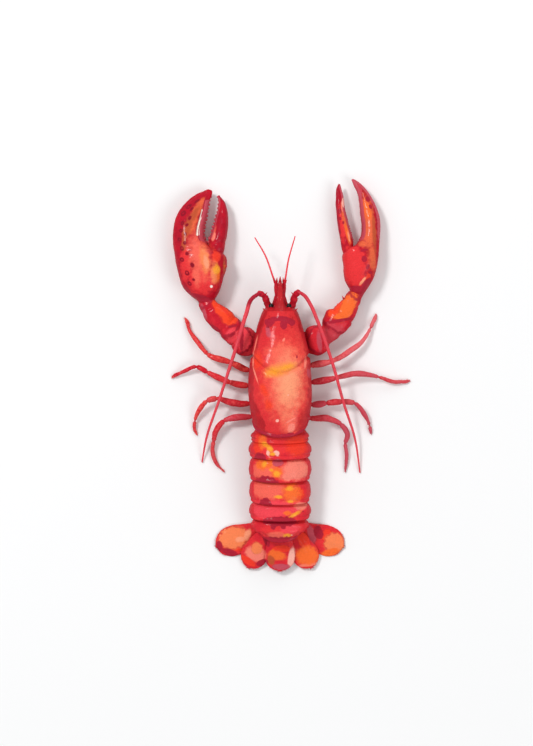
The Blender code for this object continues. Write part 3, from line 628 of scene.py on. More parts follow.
carapace = {
    "front": 62, "length": 105, "halfWidth": 28.6, "top": 52, "edge": 11.6, "belly": 12.6, "rearBow": 13,
    # share of the length from the front, of the half width, of the height
    "profile": [
        (0, 0.4, 0.63), (0.04, 0.53, 0.73), (0.12, 0.65, 0.81), (0.25, 0.78, 0.89), (0.38, 0.88, 0.94),
        (0.54, 0.965, 0.985), (0.68, 1, 1), (0.81, 0.985, 0.98), (0.92, 0.93, 0.94), (1, 0.86, 0.9),
    ],
    # y, half width, low, high
    "rostrum": [
        (50, 7, 33, 42), (58, 6.2, 30.5, 40.6), (65, 3.8, 30.3, 37.6), (73, 2.7, 31, 35.6),
        (81, 1.9, 31.8, 34.8), (87.5, 0.5, 32.8, 33.9),
    ],
    "rostrumThorns": [68, 74.5, 80.5],
    # x, y, z, way x, way z, size
    "headThorns": [
        (13, 56.5, 29, 0.75, 0.1, 4.6), (9.8, 51, 39, 0.2, 0.6, 3.6), (15.5, 49, 30.5, 0.8, 0.2, 2.6),
        (10.4, 42.5, 42.6, 0.1, 0.7, 1.8),
    ],
    "tipThorn": (0, 84.5, 33.4, 0, 1, 0.05, 4.4),  # x, y, z, way x, way y, way z, size
    "grooveY": 1, "grooveSweep": 20, "grooveWidth": 2, "grooveDepth": 1.7,
    "spacing": 1.2, "sides": 150, "endHeights": (23, 26), "voxel": 0.62, "smoothing": 10,
    "beakSides": 28, "beakEnds": [(0, 49, 37), (0, 88, 33.4)],
    # the deep red band down each flank, and how much it widens towards the tail
    "flankBand": {left: 4.6, right: 3.4}, "bandGrowth": 6.5,
    "paintAbove": 23,
    # soft ovals of each tone: x, y, half length x, half length y, turn
    "washes": {
        "salmon": [(4.6, -5, 15.6, 29, -3), (2.4, 19, 12, 10, 0), (8, -43, 7, 9, 0)],
        "peach": [(7, -8, 9.5, 21, 0)],
        "apricot": [(1.2, 5.4, 12, 5.4, 14)],
        "yellow": [(-4.6, 3.2, 6.8, 3.6, 10), (4.6, 6.6, 6.4, 2.8, 16)],
        "red": [(11, 20, 11, 16, 0), (12, -22, 10, 20, 0), (-4, -8, 14, 20, 0)],
        "scarlet": [(-20.4, 12.6, 3.8, 8, 6), (-14.2, -13.6, 2.6, 6, 25), (-10.4, -26.4, 3, 4.6, 10)],
        "blush": [
            (-21.8, 28, 0.7, 7.5, -14), (-24, 14, 0.7, 8, -2), (-22, 0, 0.7, 8.5, 18),
            (22.4, 11.2, 1.1, 5.2, -4), (9, -40.4, 5.2, 0.7, 28), (10, -47.2, 3, 4.4, -24),
            (3.2, 31.4, 1, 1.9, -30),
        ],
        "mauve": [(25.6, 1.6, 1.6, 4, 10), (-10.6, 38.6, 2.2, 5, 8)],
        "maroon": [
            (-9.6, 46.6, 4.4, 4, 24), (-0.6, 50.2, 9.4, 2.2, 0), (3.2, 45, 3.2, 4.6, 0),
            (9.6, 47.4, 4.2, 3, -38), (14.9, 16.3, 0.7, 1.6, 0),
        ],
        "pale": [(-2.6, -40.6, 1.5, 1.3, 30), (7, -17.8, 0.6, 0.6, 0)],
    },
}


# One slice of the body: a round back, flanks turned in below the waist, and a shallow belly.
def archLoop(y, halfWidth, top, waist, lip, belly, bow, count, softening):
    angle = np.linspace(0, np.pi, 49)
    c, s = rounded(np.cos(angle), backPower), rounded(np.sin(angle), 2.25)
    back = np.column_stack([halfWidth * c, y - bow * np.sin(angle), waist + (top - waist) * s])
    hip = lip + 0.45 * (waist - lip)
    flank = np.array([(0.97 * halfWidth, y, hip), (0.86 * halfWidth, y, lip), (0.64 * halfWidth, y, belly)])
    return evenLoop(np.vstack([back, flank * (-1, 1, 1), [(0, y, belly)], flank[::-1]]), count, softening)


def carapaceLoops():
    look = carapace
    scaled = np.array(look["profile"]) * (look["length"], look["halfWidth"], look["top"])
    loops = []
    for along, halfWidth, top in smoothRows(scaled, look["spacing"]):
        share = along / look["length"]
        lift = 3 * max(0, 1 - share / 0.12)
        lip, belly = look["edge"] + lift, look["belly"] + lift
        waist = look["edge"] + 0.42 * (top - look["edge"])
        bow, y = look["rearBow"] * share**3, look["front"] - along
        loops.append(archLoop(y, halfWidth, top, waist, lip, belly, bow, look["sides"], 3))
    return np.array(loops)


# A rear edge that bows back in the middle, for each x.
def bowedEdge(x, y, half, bow):
    return y - bow * np.sqrt(1 - np.clip(np.abs(x) / half, 0, 1) ** backPower)


def rearEdge(x):
    look = carapace
    half = look["halfWidth"] * look["profile"][-1][1]
    return bowedEdge(x, look["front"] - look["length"], half, look["rearBow"])


def neckGroove(x):
    return carapace["grooveY"] + carapace["grooveSweep"] * (np.abs(x) / carapace["halfWidth"]) ** 2


def makeCarapace():
    look = carapace
    edge, front, rear = look["edge"], look["front"], look["front"] - look["length"]
    rostrum, (headHigh, rearHigh) = np.array(look["rostrum"]), look["endHeights"]
    shell = skin("carapaceShell", carapaceLoops(), [(0, front + 1.2, headHigh), (0, rear - 2, rearHigh)])
    c, s = ringShape(look["beakSides"])
    y, half, low, high = smoothRows(rostrum, 0.8).T[..., None]
    beakRings = stacked(half * c, y, (low + high) / 2 + (high - low) / 2 * s)
    merge(shell, skin("beak", beakRings, look["beakEnds"]))
    fuse(shell, look["voxel"], look["smoothing"])
    x, y, z = readPoints(shell).T
    onBack = ramp(z, edge + 3, edge + 12)
    pastGroove = y - neckGroove(x)
    behind = ramp(-pastGroove, 0, 6)
    amount = 0.5 * bell(pastGroove - 5, 4) + 0.4 * bell(pastGroove + 6, 4)
    amount -= look["grooveDepth"] * bell(pastGroove, look["grooveWidth"])
    amount -= 0.4 * bell(x, 0.55) * behind  # seam down the middle of the back
    amount *= onBack
    amount -= 0.35 * bell(np.abs(x) - 10 - 0.08 * np.abs(y), 1.4) * behind * ramp(y, -40, -25)
    edgeGap = y - rearEdge(x)
    atRear = ramp(z, edge + 2, edge + 6) * ramp(-y, 34, 42)
    amount += (0.45 * bell(edgeGap - 1.2, 1.1) - 0.7 * bell(edgeGap - 3.6, 0.9)) * atRear
    amount += 0.4 * bell(z - edge - 1.5, 1.3) - 0.35 * bell(z - edge - 4.6, 1.2) * ramp(55 - y, 0, 8)
    channel = bell(x, valueAt(rostrum, y, 1) * 0.45)  # along the spike
    amount -= 0.8 * channel * ramp(y, 55, 62) * ramp(z, 33, 35)
    push(shell, amount)
    roughen(shell, (15, 0.45), (5.0, 0.16), (1.8, 0.05))
    thorns = []
    for side in (left, right):
        for thornY in look["rostrumThorns"]:
            thorns.append((side * (valueAt(rostrum, thornY, 1) - 0.5), thornY, 34, side * 0.45, 1, 0.2, 2.5))
        for thornX, thornY, thornZ, wayX, wayZ, size in look["headThorns"]:
            thorns.append((side * thornX, thornY, thornZ, side * wayX, 1, wayZ, size))
    thorns.append(look["tipThorn"])
    merge(shell, sproutOn("thorns", "thorn", thorns, 0.05, 0.08, 4))
    x, y, z = readPoints(shell).T
    # painted shade: a dark band just in front of the rear edge
    rim = (1 - (y - rearEdge(x)) / 7.5) * np.where(x > 12, 0.7, 1) * (z > 14)
    # painted shade in the neck groove at the sides
    grooveShade = 0.7 * bell(y - neckGroove(x), 1.2) * ramp(np.abs(x), 19, 27) * (z > edge + 4)
    half = look["halfWidth"] * valueAt(np.array(look["profile"]), (front - y) / look["length"], 1)
    band = np.where(x < 0, look["flankBand"][left], look["flankBand"][right])
    band = band + look["bandGrowth"] * ramp(-y, 18, 44)
    field = 0.5 + (half - np.abs(x) - band) / 9
    field[(y > 57) | (y < rearEdge(x))] = 0
    paint(shell, look["washes"], look["paintAbove"], ruby=field, maroon=np.maximum(rim, grooveShade))
    place(shell, "body_shell", "carapace")


makeCarapace()
print("carapace ready")


# Tail

tail = {
    "rims": [-59, -73, -93.5, -113.5, -128.5, -141.5],
    "halfWidths": [25.5, 27.6, 27.4, 27.2, 27, 25.4],
    "tops": [42.5, 43.5, 41.5, 38.5, 35, 31],
    "rimInsets": [0.3, 1.7, 1.7, 1.7, 1.7, 0],
    "lip": 2.6, "belly": 7, "neckLength": 7, "neckInset": 4.2, "bow": 2.6,
    "lastBow": 9, "lastRimHalfWidth": 17.5, "sides": 168, "slices": 46, "paintAbove": 11,
    "washes": {
        "scarlet": [(-20, -62, 4.4, 8.4, 0), (15, -63, 10, 9, 0), (17.6, -106, 4.4, 5.4, 0)],
        "orange": [
            (-15.6, -60, 3.4, 6.4, 0), (-16.2, -80, 5.6, 4.6, 0), (-9.6, -79, 2.8, 4.4, 0),
            (-3.4, -86.6, 5.2, 5.2, 0), (10.6, -105.5, 7.6, 8.6, 0), (6.4, -123.4, 3, 2, 0),
        ],
        "yellow": [
            (-13.2, -62, 3.2, 1.9, -35), (-9.2, -65.6, 3.4, 2.2, -50), (-6.8, -70.4, 2.8, 1.5, 0),
            (-14.2, -79.4, 1.9, 2.6, -20), (-2.8, -88, 3, 2.4, -30), (-7.8, -84.6, 2, 1.3, 0),
            (8.2, -101.4, 3.6, 1.9, 0), (-1.2, -108.8, 4, 1.5, 0), (9.4, -112.8, 2.3, 1.2, 0),
            (13.2, -124.8, 6, 1.6, 28), (6.6, -143.8, 3.6, 1.8, 0),
        ],
        "pale": [(-10.8, -69.6, 1.7, 2.6, 0), (-3.2, -69.6, 3, 2.2, -45), (10.4, -143.6, 0.9, 0.8, 0)],
        "red": [(2, -62, 11, 7, 0), (-12, -66, 9, 6, 0), (-1, -108, 5, 4, 0), (2, -139.6, 17, 9, 0)],
        "mauve": [(-2, -78.2, 4.6, 3.4, 0)],
        "blush": [(14.4, -84.6, 11.5, 9.2, 0), (7, -90.6, 5, 4, 0), (18.6, -117, 5.6, 3.4, 0)],
        "salmon": [
            (4, -87, 7, 7, 0), (-13.6, -85, 11, 8.6, 0), (-10.6, -102, 15, 9.4, 0), (-3, -143.6, 8, 3.4, 0),
        ],
        "rosy": [(-8.6, -120, 17, 8.4, 0), (8, -118, 15, 6, 0), (9, -138, 8, 5, 0)],
        "maroon": [
            # all but the first oval make a band of painted shade across the front of the last ring, behind
            # the rim before it
            (20.6, -122.2, 0.9, 0.8, 0), (0.6, -132.4, 15, 3.2, 0), (-6, -133.6, 2.6, 4.2, 0),
            (3, -133.6, 2.6, 4.2, 0), (9, -132.4, 2.4, 3.4, 0), (-12, -131.2, 3.6, 3, 0),
        ],
    },
    # the dark band of painted shade on each rear rim: middle x, half length, depth
    "bands": [(0, 0.1, 1), (-17.6, 7, 5), (-12, 13, 5.2), (-13, 7, 5.2), (0, 19, 4), (0, 20, 4.4)],
    "sideStrip": {left: 1.8, right: 0.6},
}


def makeTailRing(index):
    look, rims = tail, tail["rims"]
    half, top, inset, bow = look["halfWidths"][index], look["tops"][index], look["neckInset"], look["bow"]
    before = rims[index - 1] if index else carapace["front"] - carapace["length"] - 6
    rim, last = rims[index], index == len(rims) - 1
    rearBow = look["lastBow"] if last else bow
    rimHalf = look["lastRimHalfWidth"] if last else half - look["rimInsets"][index]
    rimTop = top - (6 if last else 0.7)
    middle = (before + rim) / 2
    # y, half width, top, lip, bow
    rows = np.array([
        (before + look["neckLength"], half - inset - 0.6, top - inset - 1, 9, bow),
        (before + 2, half - inset, top - inset, 9, bow),
        (before - 1.2, half - 2.2, top - 2.2, 7.5, bow),
        (before - 3.2, half - 0.7, top - 0.7, 5, bow),
        (middle - 1, half, top, look["lip"], (bow + rearBow) / 2),
        (rim + 3, (half + rimHalf) / 2 if last else half - 0.5, rimTop + 0.6, 4.6, rearBow),
        (rim, rimHalf, rimTop, 8.4, rearBow),
    ])
    order = np.linspace(0, len(rows) - 1, look["slices"])
    eased = np.column_stack([np.interp(order, range(len(rows)), column) for column in rows.T])
    for _ in range(3):
        eased[1:-1] = (eased[:-2] + 2 * eased[1:-1] + eased[2:]) / 4
    loops = []
    for y, wide, high, lip, bend in eased:
        waist, belly = lip + 0.36 * (high - lip), max(lip, look["belly"]) + 0.8
        loops.append(archLoop(y, wide, high, waist, lip, belly, bend, look["sides"], 2))
    poles = [(0, rows[0, 0] + 0.5, top * 0.5), (0, rim + 1.5, rimTop * 0.5)]
    ring = skin(f"tailRing{index + 1}", np.array(loops), poles)
    x, y, z = readPoints(ring).T
    gap = y - bowedEdge(x, rim, rimHalf, rearBow)
    shown = ramp(before - y, -1, 3)
    amount = (0.35 * bell(gap - 1.0, 0.9) - 0.5 * bell(gap - 3.2, 0.8)) * (gap > 0.25) * ramp(z, 6, 12)
    onSide = ramp(np.abs(x), half * 0.62, half * 0.86)
    amount += bell(y - middle + 1.5, (before - rim) * 0.3) * onSide * ramp(z, 4, 9)
    amount -= 0.45 * bell(z - 18, 1.2) * onSide * shown
    amount += 0.35 * bell(y - (before - 5.5), 1.8) * shown
    push(ring, amount)
    roughen(ring, (12, 0.4), (4.0, 0.14), (1.6, 0.05))
    x, y, z = readPoints(ring).T
    gap = y - bowedEdge(x, rim, rimHalf, rearBow)
    centre, reach, depth = look["bands"][index]
    onBand = np.clip(1.3 - np.abs(x - centre) / reach, 0, 1)
    # painted shade: a thin dark line along the rear rim, widening into the given band
    thin = np.clip(0.75 - gap / 2.6, 0, 1) * (0.52 if index else 0.3)
    rimShade = np.maximum(thin, np.clip(1.05 - gap / (2 * depth), 0, 1) * onBand)
    # painted shade where the ring tucks under the one in front of it
    tuckedShade = 0.8 * np.clip((y - before + 1) / 5, 0, 1)
    # the side strips stay deep red
    strip = np.where(x < 0, look["sideStrip"][left], look["sideStrip"][right])
    field = np.clip((half - np.abs(x) - strip) / 2, 0, 1)
    washes = {}
    for tone, ovals in look["washes"].items():
        washes[tone] = [w for w in ovals if before + 6 > w[1] - w[3] * 0.3 and rim - 5 < w[1] + w[3] * 0.3]
    under = {} if washes["salmon"] else {"salmon": 0.8 * ramp(9 - z, 0, 3)}
    dark = np.maximum(np.where(gap > -1, rimShade, 0.55), tuckedShade)
    paint(ring, washes, look["paintAbove"], field, maroon=dark, **under)
    place(ring, "tail_shell", f"tail_segment_{index + 1}")


for ringIndex in range(len(tail["rims"])):
    makeTailRing(ringIndex)
print("tail rings ready")


# Tail fan

fan = {
    "thickness": 2.2, "camber": 1, "power": 2.6, "ribs": 9, "ribHeight": 0.16, "fringe": 1,
    "spacing": 0.9, "sides": 72,
    # (x, y, z, half width) down the middle of each blade; the side blades are given for +X
    "middle": [
        (0, -139, 15.6, 8.5), (0, -148, 13.8, 11), (0, -158, 11, 12.8), (0, -166, 9, 13.4),
        (0, -171, 8, 11.8), (0, -174, 7.4, 9.2), (0, -176, 7.1, 6), (0, -177, 7, 2),
    ],
    "inner": [
        (9.5, -138.5, 9.7, 5), (14, -146, 8.8, 8), (19, -155, 7.2, 10.8), (23.2, -163, 5.5, 12.2),
        (25.6, -168, 4.8, 11), (27.2, -171.4, 4.3, 8.2), (28.2, -173.4, 4.1, 5), (28.6, -174.3, 4, 1.6),
    ],
    "outer": [
        (13, -135.5, 4.3, 4.5), (20, -140, 3.6, 7.6), (30, -145.5, 2.7, 11.4), (40, -149.5, 2.3, 13.8),
        (48, -152.2, 2.1, 13), (52.6, -153.8, 2.1, 10.4), (55.6, -154.8, 2.1, 7), (57, -155.3, 2.1, 3.4),
        (57.5, -155.5, 2.1, 1.2),
    ],
    "washes": {
        "apricot": [
            (-42, -147.4, 13.4, 10, 10), (-21, -156.6, 5, 5.4, 30), (24, -165.4, 5.6, 3.6, 0),
            (49.6, -152.4, 9.4, 9.2, 10),
        ],
        "peach": [(-29.4, -144.6, 2.8, 5.4, -22), (-36, -149, 4.4, 2.4, 10)],
        "maroon": [
            (-45.4, -161, 7.6, 3.2, -20), (-54.6, -155, 2.6, 5, 12), (-16, -170, 5.4, 3, 22),
            (-12.6, -148, 2.6, 7, 20), (35, -142.6, 4, 6, 20),
        ],
        "scarlet": [
            (-40, -157.4, 6.4, 1.8, -14), (-29, -168.2, 8.6, 3, -34), (1.4, -156.8, 8.4, 3.4, 0),
            (21.4, -149.4, 5.2, 9, 24), (42.4, -145.2, 5, 5.6, -20),
        ],
        "blush": [(-22, -161.6, 9.4, 6.8, -16), (26, -171.6, 9.4, 1.6, 8)],
        "orange": [
            (-2.6, -163, 8.2, 4.2, -8), (-6.6, -160.4, 2.8, 2.8, 0), (24.8, -163.6, 10.2, 9, 0),
            (45.6, -161, 8.6, 3.4, 16),
        ],
        "pale": [(10.4, -165, 3, 9.6, -8)],
        "rust": [(-8, -167.4, 3.2, 4.4, 20)],
        "mauve": [(1, -173.4, 8, 2.8, 0), (28.6, -144, 3.4, 9, 18)],
    },
}


def makeBlade(name, node, stations):
    look, spacing, sides = fan, fan["spacing"], fan["sides"]
    full = [(*row, look["thickness"] / 2) for row in stations]
    rings, poles = tubeRings(full, spacing, sides, look["power"], look["camber"], 6)
    count = len(rings)
    blade = skin(name, rings, poles)
    across = np.concatenate([np.tile(ringShape(sides, look["power"])[0], count), [0, 0]])
    along = np.concatenate([np.repeat(np.arange(count) / (count - 1), sides), [0, 1]])
    up = readPoints(blade, "normal")[:, 2]
    spread = ramp(along, 0.12, 0.4) * ramp(1 - np.abs(across), 0.04, 0.16) * ramp(1 - along, 0.02, 0.1)
    amount = look["ribHeight"] * np.cos(across * look["ribs"] * np.pi) * spread * np.sign(up)
    amount += 0.55 * bell(across, 0.10) * ramp(1 - along, 0.1, 0.35) * (up > 0)
    if "Outer" in name:  # the hinge line across the outer blades
        amount -= 0.5 * bell(along - 0.72 + 0.05 * across**2, 0.016) * (up > 0)
    push(blade, amount)
    roughen(blade, (7, 0.18), (2.2, 0.05))
    # a short fringe of bristles round the free end
    ahead = np.gradient(smoothRows(full, spacing)[:, :3], axis=0)[-4]
    ahead /= np.linalg.norm(ahead)
    freeEnd = rings[count * 3 // 4 : count - 2]
    corners = freeEnd[:, [0, 1, sides - 1, sides // 2 - 1, sides // 2, sides // 2 + 1]]
    out = corners - freeEnd.mean(1, keepdims=True)
    out /= np.maximum(np.linalg.norm(out, axis=-1, keepdims=True), 0.1)
    starts = (corners - out * 0.15).reshape(-1, 3)
    ways = (out * 0.8 + ahead).reshape(-1, 3)
    starts, ways = np.vstack([starts, starts + 0.3 * ahead]), np.vstack([ways, ways])
    ways[:, 2] = -0.1
    starts[:, 2] = np.maximum(starts[:, 2], 0.9)
    bristles = sproutOn(f"{name}Fringe", "bristle", sproutRows(starts, ways, look["fringe"]), 0.5, 0.3, 11)
    merge(blade, bristles)
    edges = np.full(len(blade.data.vertices), 0.3)
    border = 0.42 * np.maximum(np.abs(across) ** 3, ramp(along, 0.86, 1))
    edges[: len(along)] = np.maximum(border, 0.7 * fade(along, 0.16))
    paint(blade, look["washes"], maroon=edges)
    place(blade, "fan_shell", node)


makeBlade("fanMiddle", "tail_fan_middle", fan["middle"])
for fanSide, sideWord in sideNames.items():
    for bladeWord in ("inner", "outer"):
        bladeName = f"fan{bladeWord.title()}{sideWord.title()}"
        makeBlade(bladeName, f"tail_fan_{bladeWord}_{sideWord}", mirrored(fan[bladeWord], fanSide))
print("tail fan ready")


# Claws

# shared by both claws; wristRing and hinge are lengths from the wrist
claws = {
    "spacing": 0.75, "sides": 112, "power": 2.2, "wristRing": 3.4, "hinge": 44, "knobInset": 2.6,
    "spotsAbove": 8, "paleUnder": 0.75,
}
crusher = {
    "wrist": (-67, 64.8), "side": left, "paleBelow": 7,
    # from the wrist: along, outward edge, inward edge, top, bottom
    "palm": [
        (-2.5, 4.5, -4.5, 17.5, 9), (0.5, 6.5, -6, 20, 7), (5, 12.5, -9.5, 23.5, 4),
        (13, 19.4, -13.6, 27.5, 0.5), (23, 23.3, -16.3, 30, -1.2), (32.4, 25.7, -19, 31, -1.6),
        (41, 27.3, -18.4, 30.5, -1.6), (46.5, 28, -14, 29, -1.4), (51, 28.6, -3.5, 27, -1),
        (57, 29, 0.8, 25, -0.3), (66, 28.8, 1.4, 23, 0.8), (75, 27, -0.4, 21, 1.8), (84, 23, -2.3, 18.5, 3),
        (92, 16.5, -3.8, 16, 4.4), (98, 8.5, -5.8, 13.5, 5.8), (101, 1, -5.8, 11.5, 7.2),
    ],
    "thumb": [
        (41.5, -6.5, -13, 19, 10), (44.5, -4.8, -15.5, 22, 6.5), (49, -3.2, -17, 23.5, 4.6),
        (54.5, -2.6, -17.8, 23.5, 4.2), (61, -4.6, -19.1, 22.5, 4.2), (71.3, -7.4, -20.2, 20, 4.8),
        (83, -10.2, -19.7, 17, 5.8), (91, -11.3, -17.6, 14.5, 6.8), (96.5, -10.4, -13, 11.5, 8.6),
    ],
    "teeth": (55, 96, 13, 3.4),  # from, to, count, size
    "slit": (59, 86.5, 5.3, 1.4),  # from, to, distance from the toothed edge, depth
    "strip": (4.7, 95),  # width of the paler toothed edge, and where it ends
    "knobs": [(10, 3.4), (19, 4.6), (26, 3), (32.5, 5), (39, 3.2)],  # place along, size
    "spots": {
        "seed": 5, "count": 18, "from": 10, "to": 93, "crowding": 0.76,
        "inset": (4, 14.5), "size": (1.2, 1.9),
    },
    "washes": {
        "salmon": [(-72.4, 108, 9, 19, 8), (-74.6, 89, 3.4, 9, 0), (-59.6, 130, 1.6, 5, -8)],
        "apricot": [(-67.4, 103, 4.4, 12, 10), (-58.6, 91, 3.8, 9, 0)],
        # painted highlight: a small peach patch in the pale middle of the palm
        "peach": [(-66, 100.6, 2.2, 6, 10)],
        "red": [(-84.5, 99, 5, 14, 0), (-70, 84, 13, 12, 0)],
        "clay": [(-70.8, 154.8, 2.2, 4.6, -30), (-75, 147.4, 3.4, 9.6, -26), (-79, 135, 3.4, 9, -18)],
        "rust": [
            (-77.6, 143.6, 2.6, 9, -30), (-83.6, 131, 3.4, 10, -16), (-86.4, 118.6, 2, 7, -4),
            (-50, 98.4, 1.2, 7.4, 0),
        ],
        "scarlet": [(-57.2, 106.6, 4, 5.4, 0)],
        "yellow": [(-57, 94.4, 2.8, 4.6, 0)],
        "orange": [(-55.4, 89.6, 1.5, 5.4, 0)],
        "maroon": [
            (-71.4, 69.2, 12, 2.8, -14), (-84.4, 76.4, 2.6, 5.4, 40), (-54.2, 112.6, 3, 1.8, 20),
            (-55.4, 120.4, 1.8, 1.4, 20), (-54.8, 126.8, 1.4, 2.4, 0), (-52.4, 138, 0.9, 2.6, 0),
        ],
        # painted highlight: a small pale glint on the palm near the wrist
        "ivory": [(-61.6, 79.4, 1.3, 1.3, 0)],
        "blush": [(-60, 124.6, 2, 4, -10)],
    },
}
cutter = {
    "wrist": (71, 69.3), "side": right, "paleBelow": 6,
    "palm": [
        (-2.5, 1, -7, 16.5, 9), (2, 4.2, -7.6, 18.5, 7), (8, 7.8, -8.8, 21, 4), (16, 12.2, -12.8, 23.5, 1),
        (29.7, 16.5, -14.2, 25, -1.1), (39, 18, -15, 25, -1.1), (43.5, 18.5, -11.5, 24.4, -1),
        (47.5, 18.8, -3.4, 23, -0.6), (56, 19.1, 2, 20.5, 0.3), (65.7, 19.4, 2.8, 19, 1),
        (75, 18.2, 1.6, 17.5, 2), (85.5, 14.6, 0.5, 15.5, 3.2), (96, 8.4, -1.7, 13.2, 4.6),
        (103, 2.2, -5, 11.4, 5.8), (107, -3.4, -6.8, 10, 7.4),
    ],
    "thumb": [
        (38, -7.5, -13, 16.5, 9.5), (41, -5.4, -14.6, 18.4, 7), (46, -4.8, -15.8, 19.2, 5.6),
        (53, -5.2, -16.8, 19, 5.2), (61, -7.3, -18.1, 18, 5.2), (70, -9.7, -19.3, 16.8, 5.4),
        (82, -12.6, -20.5, 14.6, 6.2), (92, -13.7, -20.6, 12.8, 7), (99, -15.4, -20, 11.2, 7.8),
        (102.5, -16.6, -18.6, 10.2, 8.8),
    ],
    "teeth": (51, 101, 26, 1.7),
    "slit": None,
    "strip": (3, 200),
    "knobs": [(12, 2.6), (20, 2.9), (28, 3), (35, 2.8)],
    "spots": None,
    "washes": {
        "red": [(66, 98, 12.5, 20, 5), (54.4, 136, 3.4, 17, 12)],
        "clay": [
            (79.4, 137, 5.4, 27, 3), (83.6, 105, 2.8, 13, 4), (74, 118.4, 3.6, 3, 0),
            (58.6, 138, 2, 14, 12),
        ],
        "salmon": [(77, 129, 3.4, 9, 0)],
        "orange": [(78.6, 149, 3, 9, 14), (61, 127, 1.8, 9, 12)],
        "rust": [(84.6, 128, 1.6, 16, 3)],
        "maroon": [
            (79, 158.6, 1.9, 2.9, 20), (81.6, 151.6, 1.5, 2.2, 20), (69.4, 77, 9, 3, -6),
            (77.4, 82, 2.6, 6.4, -38), (75.6, 112, 4, 1.2, 12), (75.6, 104, 2.3, 2.9, -10),
            (78.8, 97, 1.4, 2.3, -20), (81, 92.2, 1.8, 1.3, 0), (53.7, 147.6, 1.7, 2.8, 0),
            (54, 141, 1.3, 1.7, 0), (57, 137.2, 1, 1.5, 0),
        ],
        "dusk": [(67.6, 171, 4.4, 9, 38)],
        # the second peach patch is a painted highlight on the orange strip
        "peach": [(74.4, 84.6, 1.1, 4.2, -38), (62, 124.4, 0.8, 5, 12)],
        "scarlet": [(79, 87, 2.4, 5, -20)],
        "pale": [(57.2, 155.6, 1.6, 4.4, 0)],
        "blush": [(56.8, 152, 1.8, 5, 0)],
    },
}


# A palm or a thumb from its slices, with rounded ends.
def clawSkin(name, look, stations):
    along, outward, inward, top, bottom = smoothRows(stations, claws["spacing"]).T[..., None]
    half, halfHigh = (outward - inward) / 2, (top - bottom) / 2
    c, s = ringShape(claws["sides"], claws["power"])
    (wristX, wristY), side = look["wrist"], look["side"]
    centres = stacked(wristX + side * (outward + inward) / 2, wristY + along, (top + bottom) / 2)
    rings = centres + stacked(side * half * c, 0, halfHigh * s)
    reach = 0.8 * np.minimum(half, halfHigh)
    ends = np.array([(0, -reach[0, 0], 0), (0, reach[-1, 0], 0)])
    rings, poles = capped(rings, centres[:, 0], ends, 6)
    rings[..., 2] = np.maximum(rings[..., 2], 0)
    return skin(name, rings, poles)


# Where points lie in a claw piece: along it, out from its inward edge, its width, and how high from -1 to 1.
def clawPlace(look, stations, piece):
    points = readPoints(piece)
    rows = smoothRows(stations, 1.0)
    along = points[:, 1] - look["wrist"][1]
    out = (points[:, 0] - look["wrist"][0]) * look["side"]
    outward, inward, top, bottom = (valueAt(rows, along, k) for k in range(1, 5))
    return along, out - inward, outward - inward, (points[:, 2] - (top + bottom) / 2) / ((top - bottom) / 2)


# A row of blunt teeth on the inward edge (-1) or the outward one (1).
def toothRow(name, look, stations, edge):
    first, last, count, size = look["teeth"]
    along = np.linspace(first, last, count)
    rows = smoothRows(stations, 1.0)
    out = valueAt(rows, along, 2 if edge < 0 else 1) - 0.3 * edge
    high = (valueAt(rows, along, 3) + valueAt(rows, along, 4)) / 2
    starts = np.column_stack([look["wrist"][0] + look["side"] * out, look["wrist"][1] + along, high])
    sizes = size * (1.05 - 0.6 * np.linspace(0, 1, count)) * (1 + 0.25 * np.sin(np.arange(count) * 2.1))
    ways = np.tile((look["side"] * edge, 0, 0.15), (count, 1))
    return sproutOn(name, "molar", sproutRows(starts, ways, sizes), 0.12, 0.12, 8)


# The share of each point in the slit beside the toothed edge.
def slitWindow(slit, along, eases):
    start, end = slit[:2]
    return ramp(along, start + eases[0], start + eases[1]) * ramp(end - along, eases[2], eases[3])


